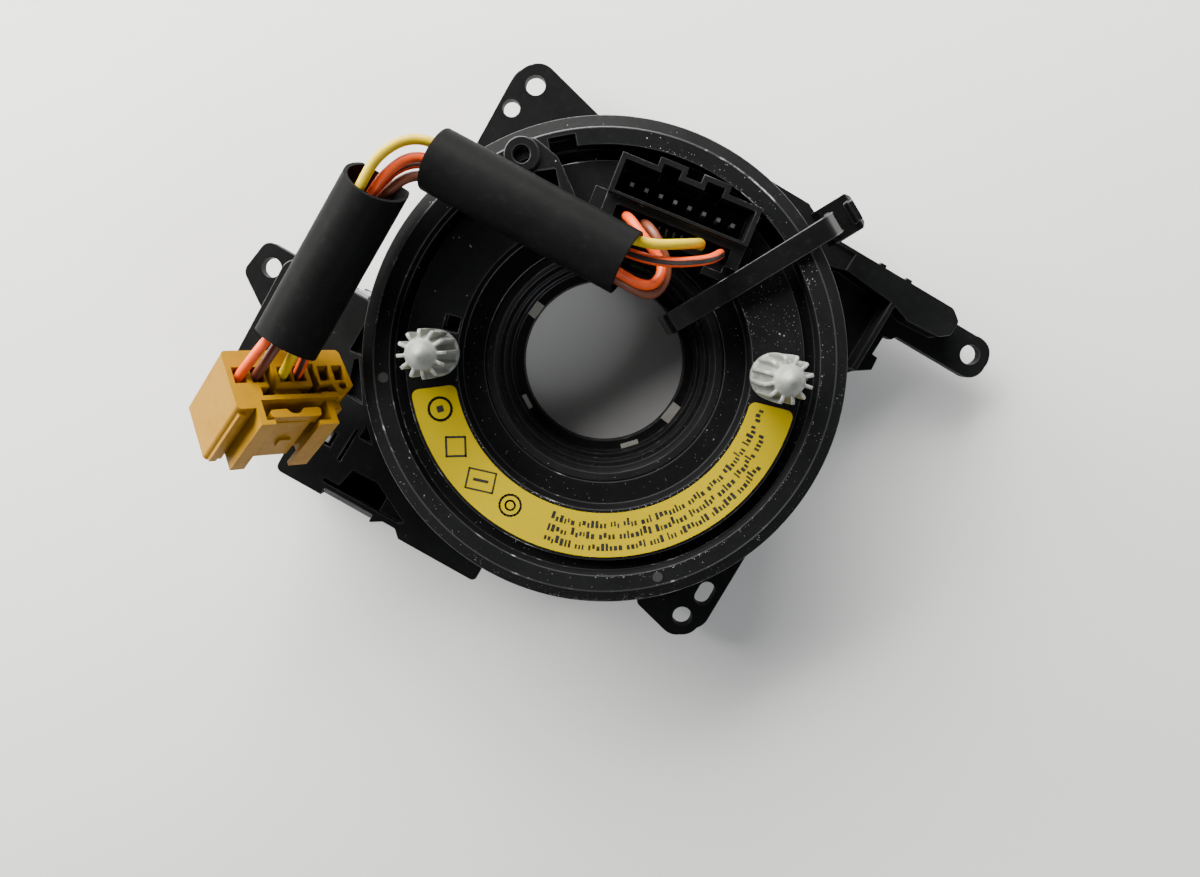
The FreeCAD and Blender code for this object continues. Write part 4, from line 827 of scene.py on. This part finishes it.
def ring_of_bars(x, y, radius, width, sides=20):
    """A ring made of short strokes."""
    knots = [(x + radius * math.cos(k * math.tau / sides), y + radius * math.sin(k * math.tau / sides))
             for k in range(sides + 1)]
    return [bar_between(a, b, width) for a, b in zip(knots, knots[1:])]


def row_of_strokes(radius, start, stop, chance):
    """Strokes of uneven width along an arc, in groups of three to eight with small gaps."""
    marks = []
    place = start
    while place < stop:
        for _ in range(chance.randint(3, 8)):
            wide = chance.uniform(0.26, 0.62)
            tall = chance.choice((0.75, 0.8, 0.85, 1.25))
            low = chance.choice((0.0, 0.0, 0.0, 0.3))
            step = math.degrees(wide / radius)
            if place + step > stop:
                return marks
            inner = radius - low - tall
            marks.append([polar(inner, place), polar(inner, place + step),
                          polar(radius - low, place + step), polar(radius - low, place)])
            place += step + math.degrees(0.27 / radius)
        place += math.degrees(0.55 / radius)
    return marks


def outline_of_bars(corners, width):
    """A closed outline of strokes through the corners."""
    return [bar_between(a, b, width) for a, b in zip(corners, corners[1:] + corners[:1])]


chance = random.Random(11)
marks = row_of_strokes(27.45, -79.5, 15.0, chance) + row_of_strokes(29.35, -79.5, 6.0, chance)
marks += row_of_strokes(31.3, -79.5, -1.5, chance)
marks += ring_of_bars(-20.0, -20.0, 1.9, 0.42)
marks.append(slab(-20.0, -20.0, 1.1, 1.1, 45.0))
marks += outline_of_bars(slab(-14.7, -24.2, 3.2, 3.2, 31.0), 0.36)
marks += outline_of_bars(slab(-8.3, -27.1, 4.6, 3.4, 17.0), 0.3)
marks.append(slab(-8.3, -27.1, 2.6, 0.5, 17.0))
marks += ring_of_bars(-2.0, -28.3, 1.8, 0.36)
marks += ring_of_bars(-2.0, -28.3, 0.8, 0.3)
spots = [at(x, y, LABEL_FACE + 0.5 * INK) for mark in marks for x, y in mark]
quads = [tuple(range(4 * k, 4 * k + 4)) for k in range(len(marks))]
label_print = mesh_piece("label_print", spots, [], quads)
pick(label_print)
apply_new(label_print, "SOLIDIFY", "ink_depth", thickness=INK * MM, offset=0.0)
label_ink = plain_finish("label_ink", (0.006, 0.006, 0.006), (0.014, 0.013, 0.011), 0.45, scale=900.0)
label_print.data.materials.append(label_ink)
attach(label_print, "rotor")
print("label marks", len(marks))

# %% [markdown]
# Small things that a used moulding carries: two round gate marks, where the plastic entered the mould, and
# crumbs of pale dust that settle in the groove, on the ledges of the bore and along the lower rim.

# %% Gate marks and dust
GATES = [(36.4, -46.0), (36.3, -146.8)]
DISC_TOP = 30.0
gate_matt = plain_finish("gate_matt", (0.010, 0.010, 0.010), (0.018, 0.018, 0.0175), 0.6, scale=1500.0)
for k, (radius, degrees) in enumerate(GATES):
    clear_selection()
    bpy.ops.mesh.primitive_cylinder_add(vertices=40, radius=0.85 * MM, depth=0.08 * MM,
                                        location=at(*polar(radius, degrees), DISC_TOP))
    gate = bpy.context.object
    gate.name = "gate_mark_%d" % (k + 1)
    bpy.ops.object.transform_apply(location=True, rotation=False, scale=False)
    gate.data.materials.append(gate_matt)
    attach(gate, "rotor")

# A band has its place, both radii, the heights there, first and last angle, number of crumbs and their size.
DUST = [("edge of the funnel", 24.4, 24.8, 28.0, 28.0, -150, 70, 110, 0.06),
        ("floor of the groove", 33.1, 35.0, 26.3, 26.3, -170, 110, 110, 0.06),
        ("inner edge of the ring", 35.2, 35.6, 30.0, 30.0, -60, 110, 150, 0.055),
        ("top of the ring", 35.6, 37.7, 30.0, 30.0, -170, 110, 110, 0.05),
        ("outer edge of the top", 37.8, 38.2, 29.95, 29.7, -120, 60, 120, 0.05),
        ("sloped band", 38.2, 39.7, 29.7, 28.7, -160, 30, 110, 0.055),
        ("disc beside the right pin", 25.0, 32.6, 28.0, 28.0, 30, 62, 110, 0.045),
        ("upper ledge of the bore", 19.6, 24.1, 22.2, 22.2, -180, 60, 120, 0.055),
        ("lower ledge of the bore", 18.1, 18.9, 14.0, 14.0, -180, 180, 60, 0.05),
        ("lower rim", 39.2, 39.9, 29.0, 28.55, -75, -45, 60, 0.08)]
CRUMB_SIDES = 5


def crumb(points, faces, centre, wide, deep, spin, size):
    """Adds one low five-sided crumb with a point above and a point just below the surface."""
    x, y, z = centre
    k = len(points)
    corners = [spin + q * math.tau / CRUMB_SIDES for q in range(CRUMB_SIDES)]
    points += [at(x + wide * math.cos(a), y + deep * math.sin(a), z) for a in corners]
    points += [at(x, y, z + 0.6 * size), at(x, y, z - 0.02)]
    ring = [(k + q, k + (q + 1) % CRUMB_SIDES) for q in range(CRUMB_SIDES)]
    faces += [(a, b, k + CRUMB_SIDES) for a, b in ring]
    faces += [(b, a, k + CRUMB_SIDES + 1) for a, b in ring]


points, faces = [], []
for _, inner, outer, inner_z, outer_z, start, stop, count, size in DUST:
    for _ in range(count):
        share = chance.random()
        spot = polar(inner + (outer - inner) * share, chance.uniform(start, stop))
        height = inner_z + (outer_z - inner_z) * share
        wide = size * chance.uniform(0.5, 1.6)
        deep = size * chance.uniform(0.4, 1.2)
        crumb(points, faces, (*spot, height), wide, deep, chance.uniform(0.0, math.tau), size)
crumbs = mesh_piece("dust_crumbs", points, [], faces)
dust_pale = plain_finish("dust_pale", (0.22, 0.215, 0.20), (0.42, 0.41, 0.38), 0.8, scale=2500.0)
crumbs.data.materials.append(dust_pale)
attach(crumbs, "rotor")
print("dust crumbs", sum(band[7] for band in DUST))
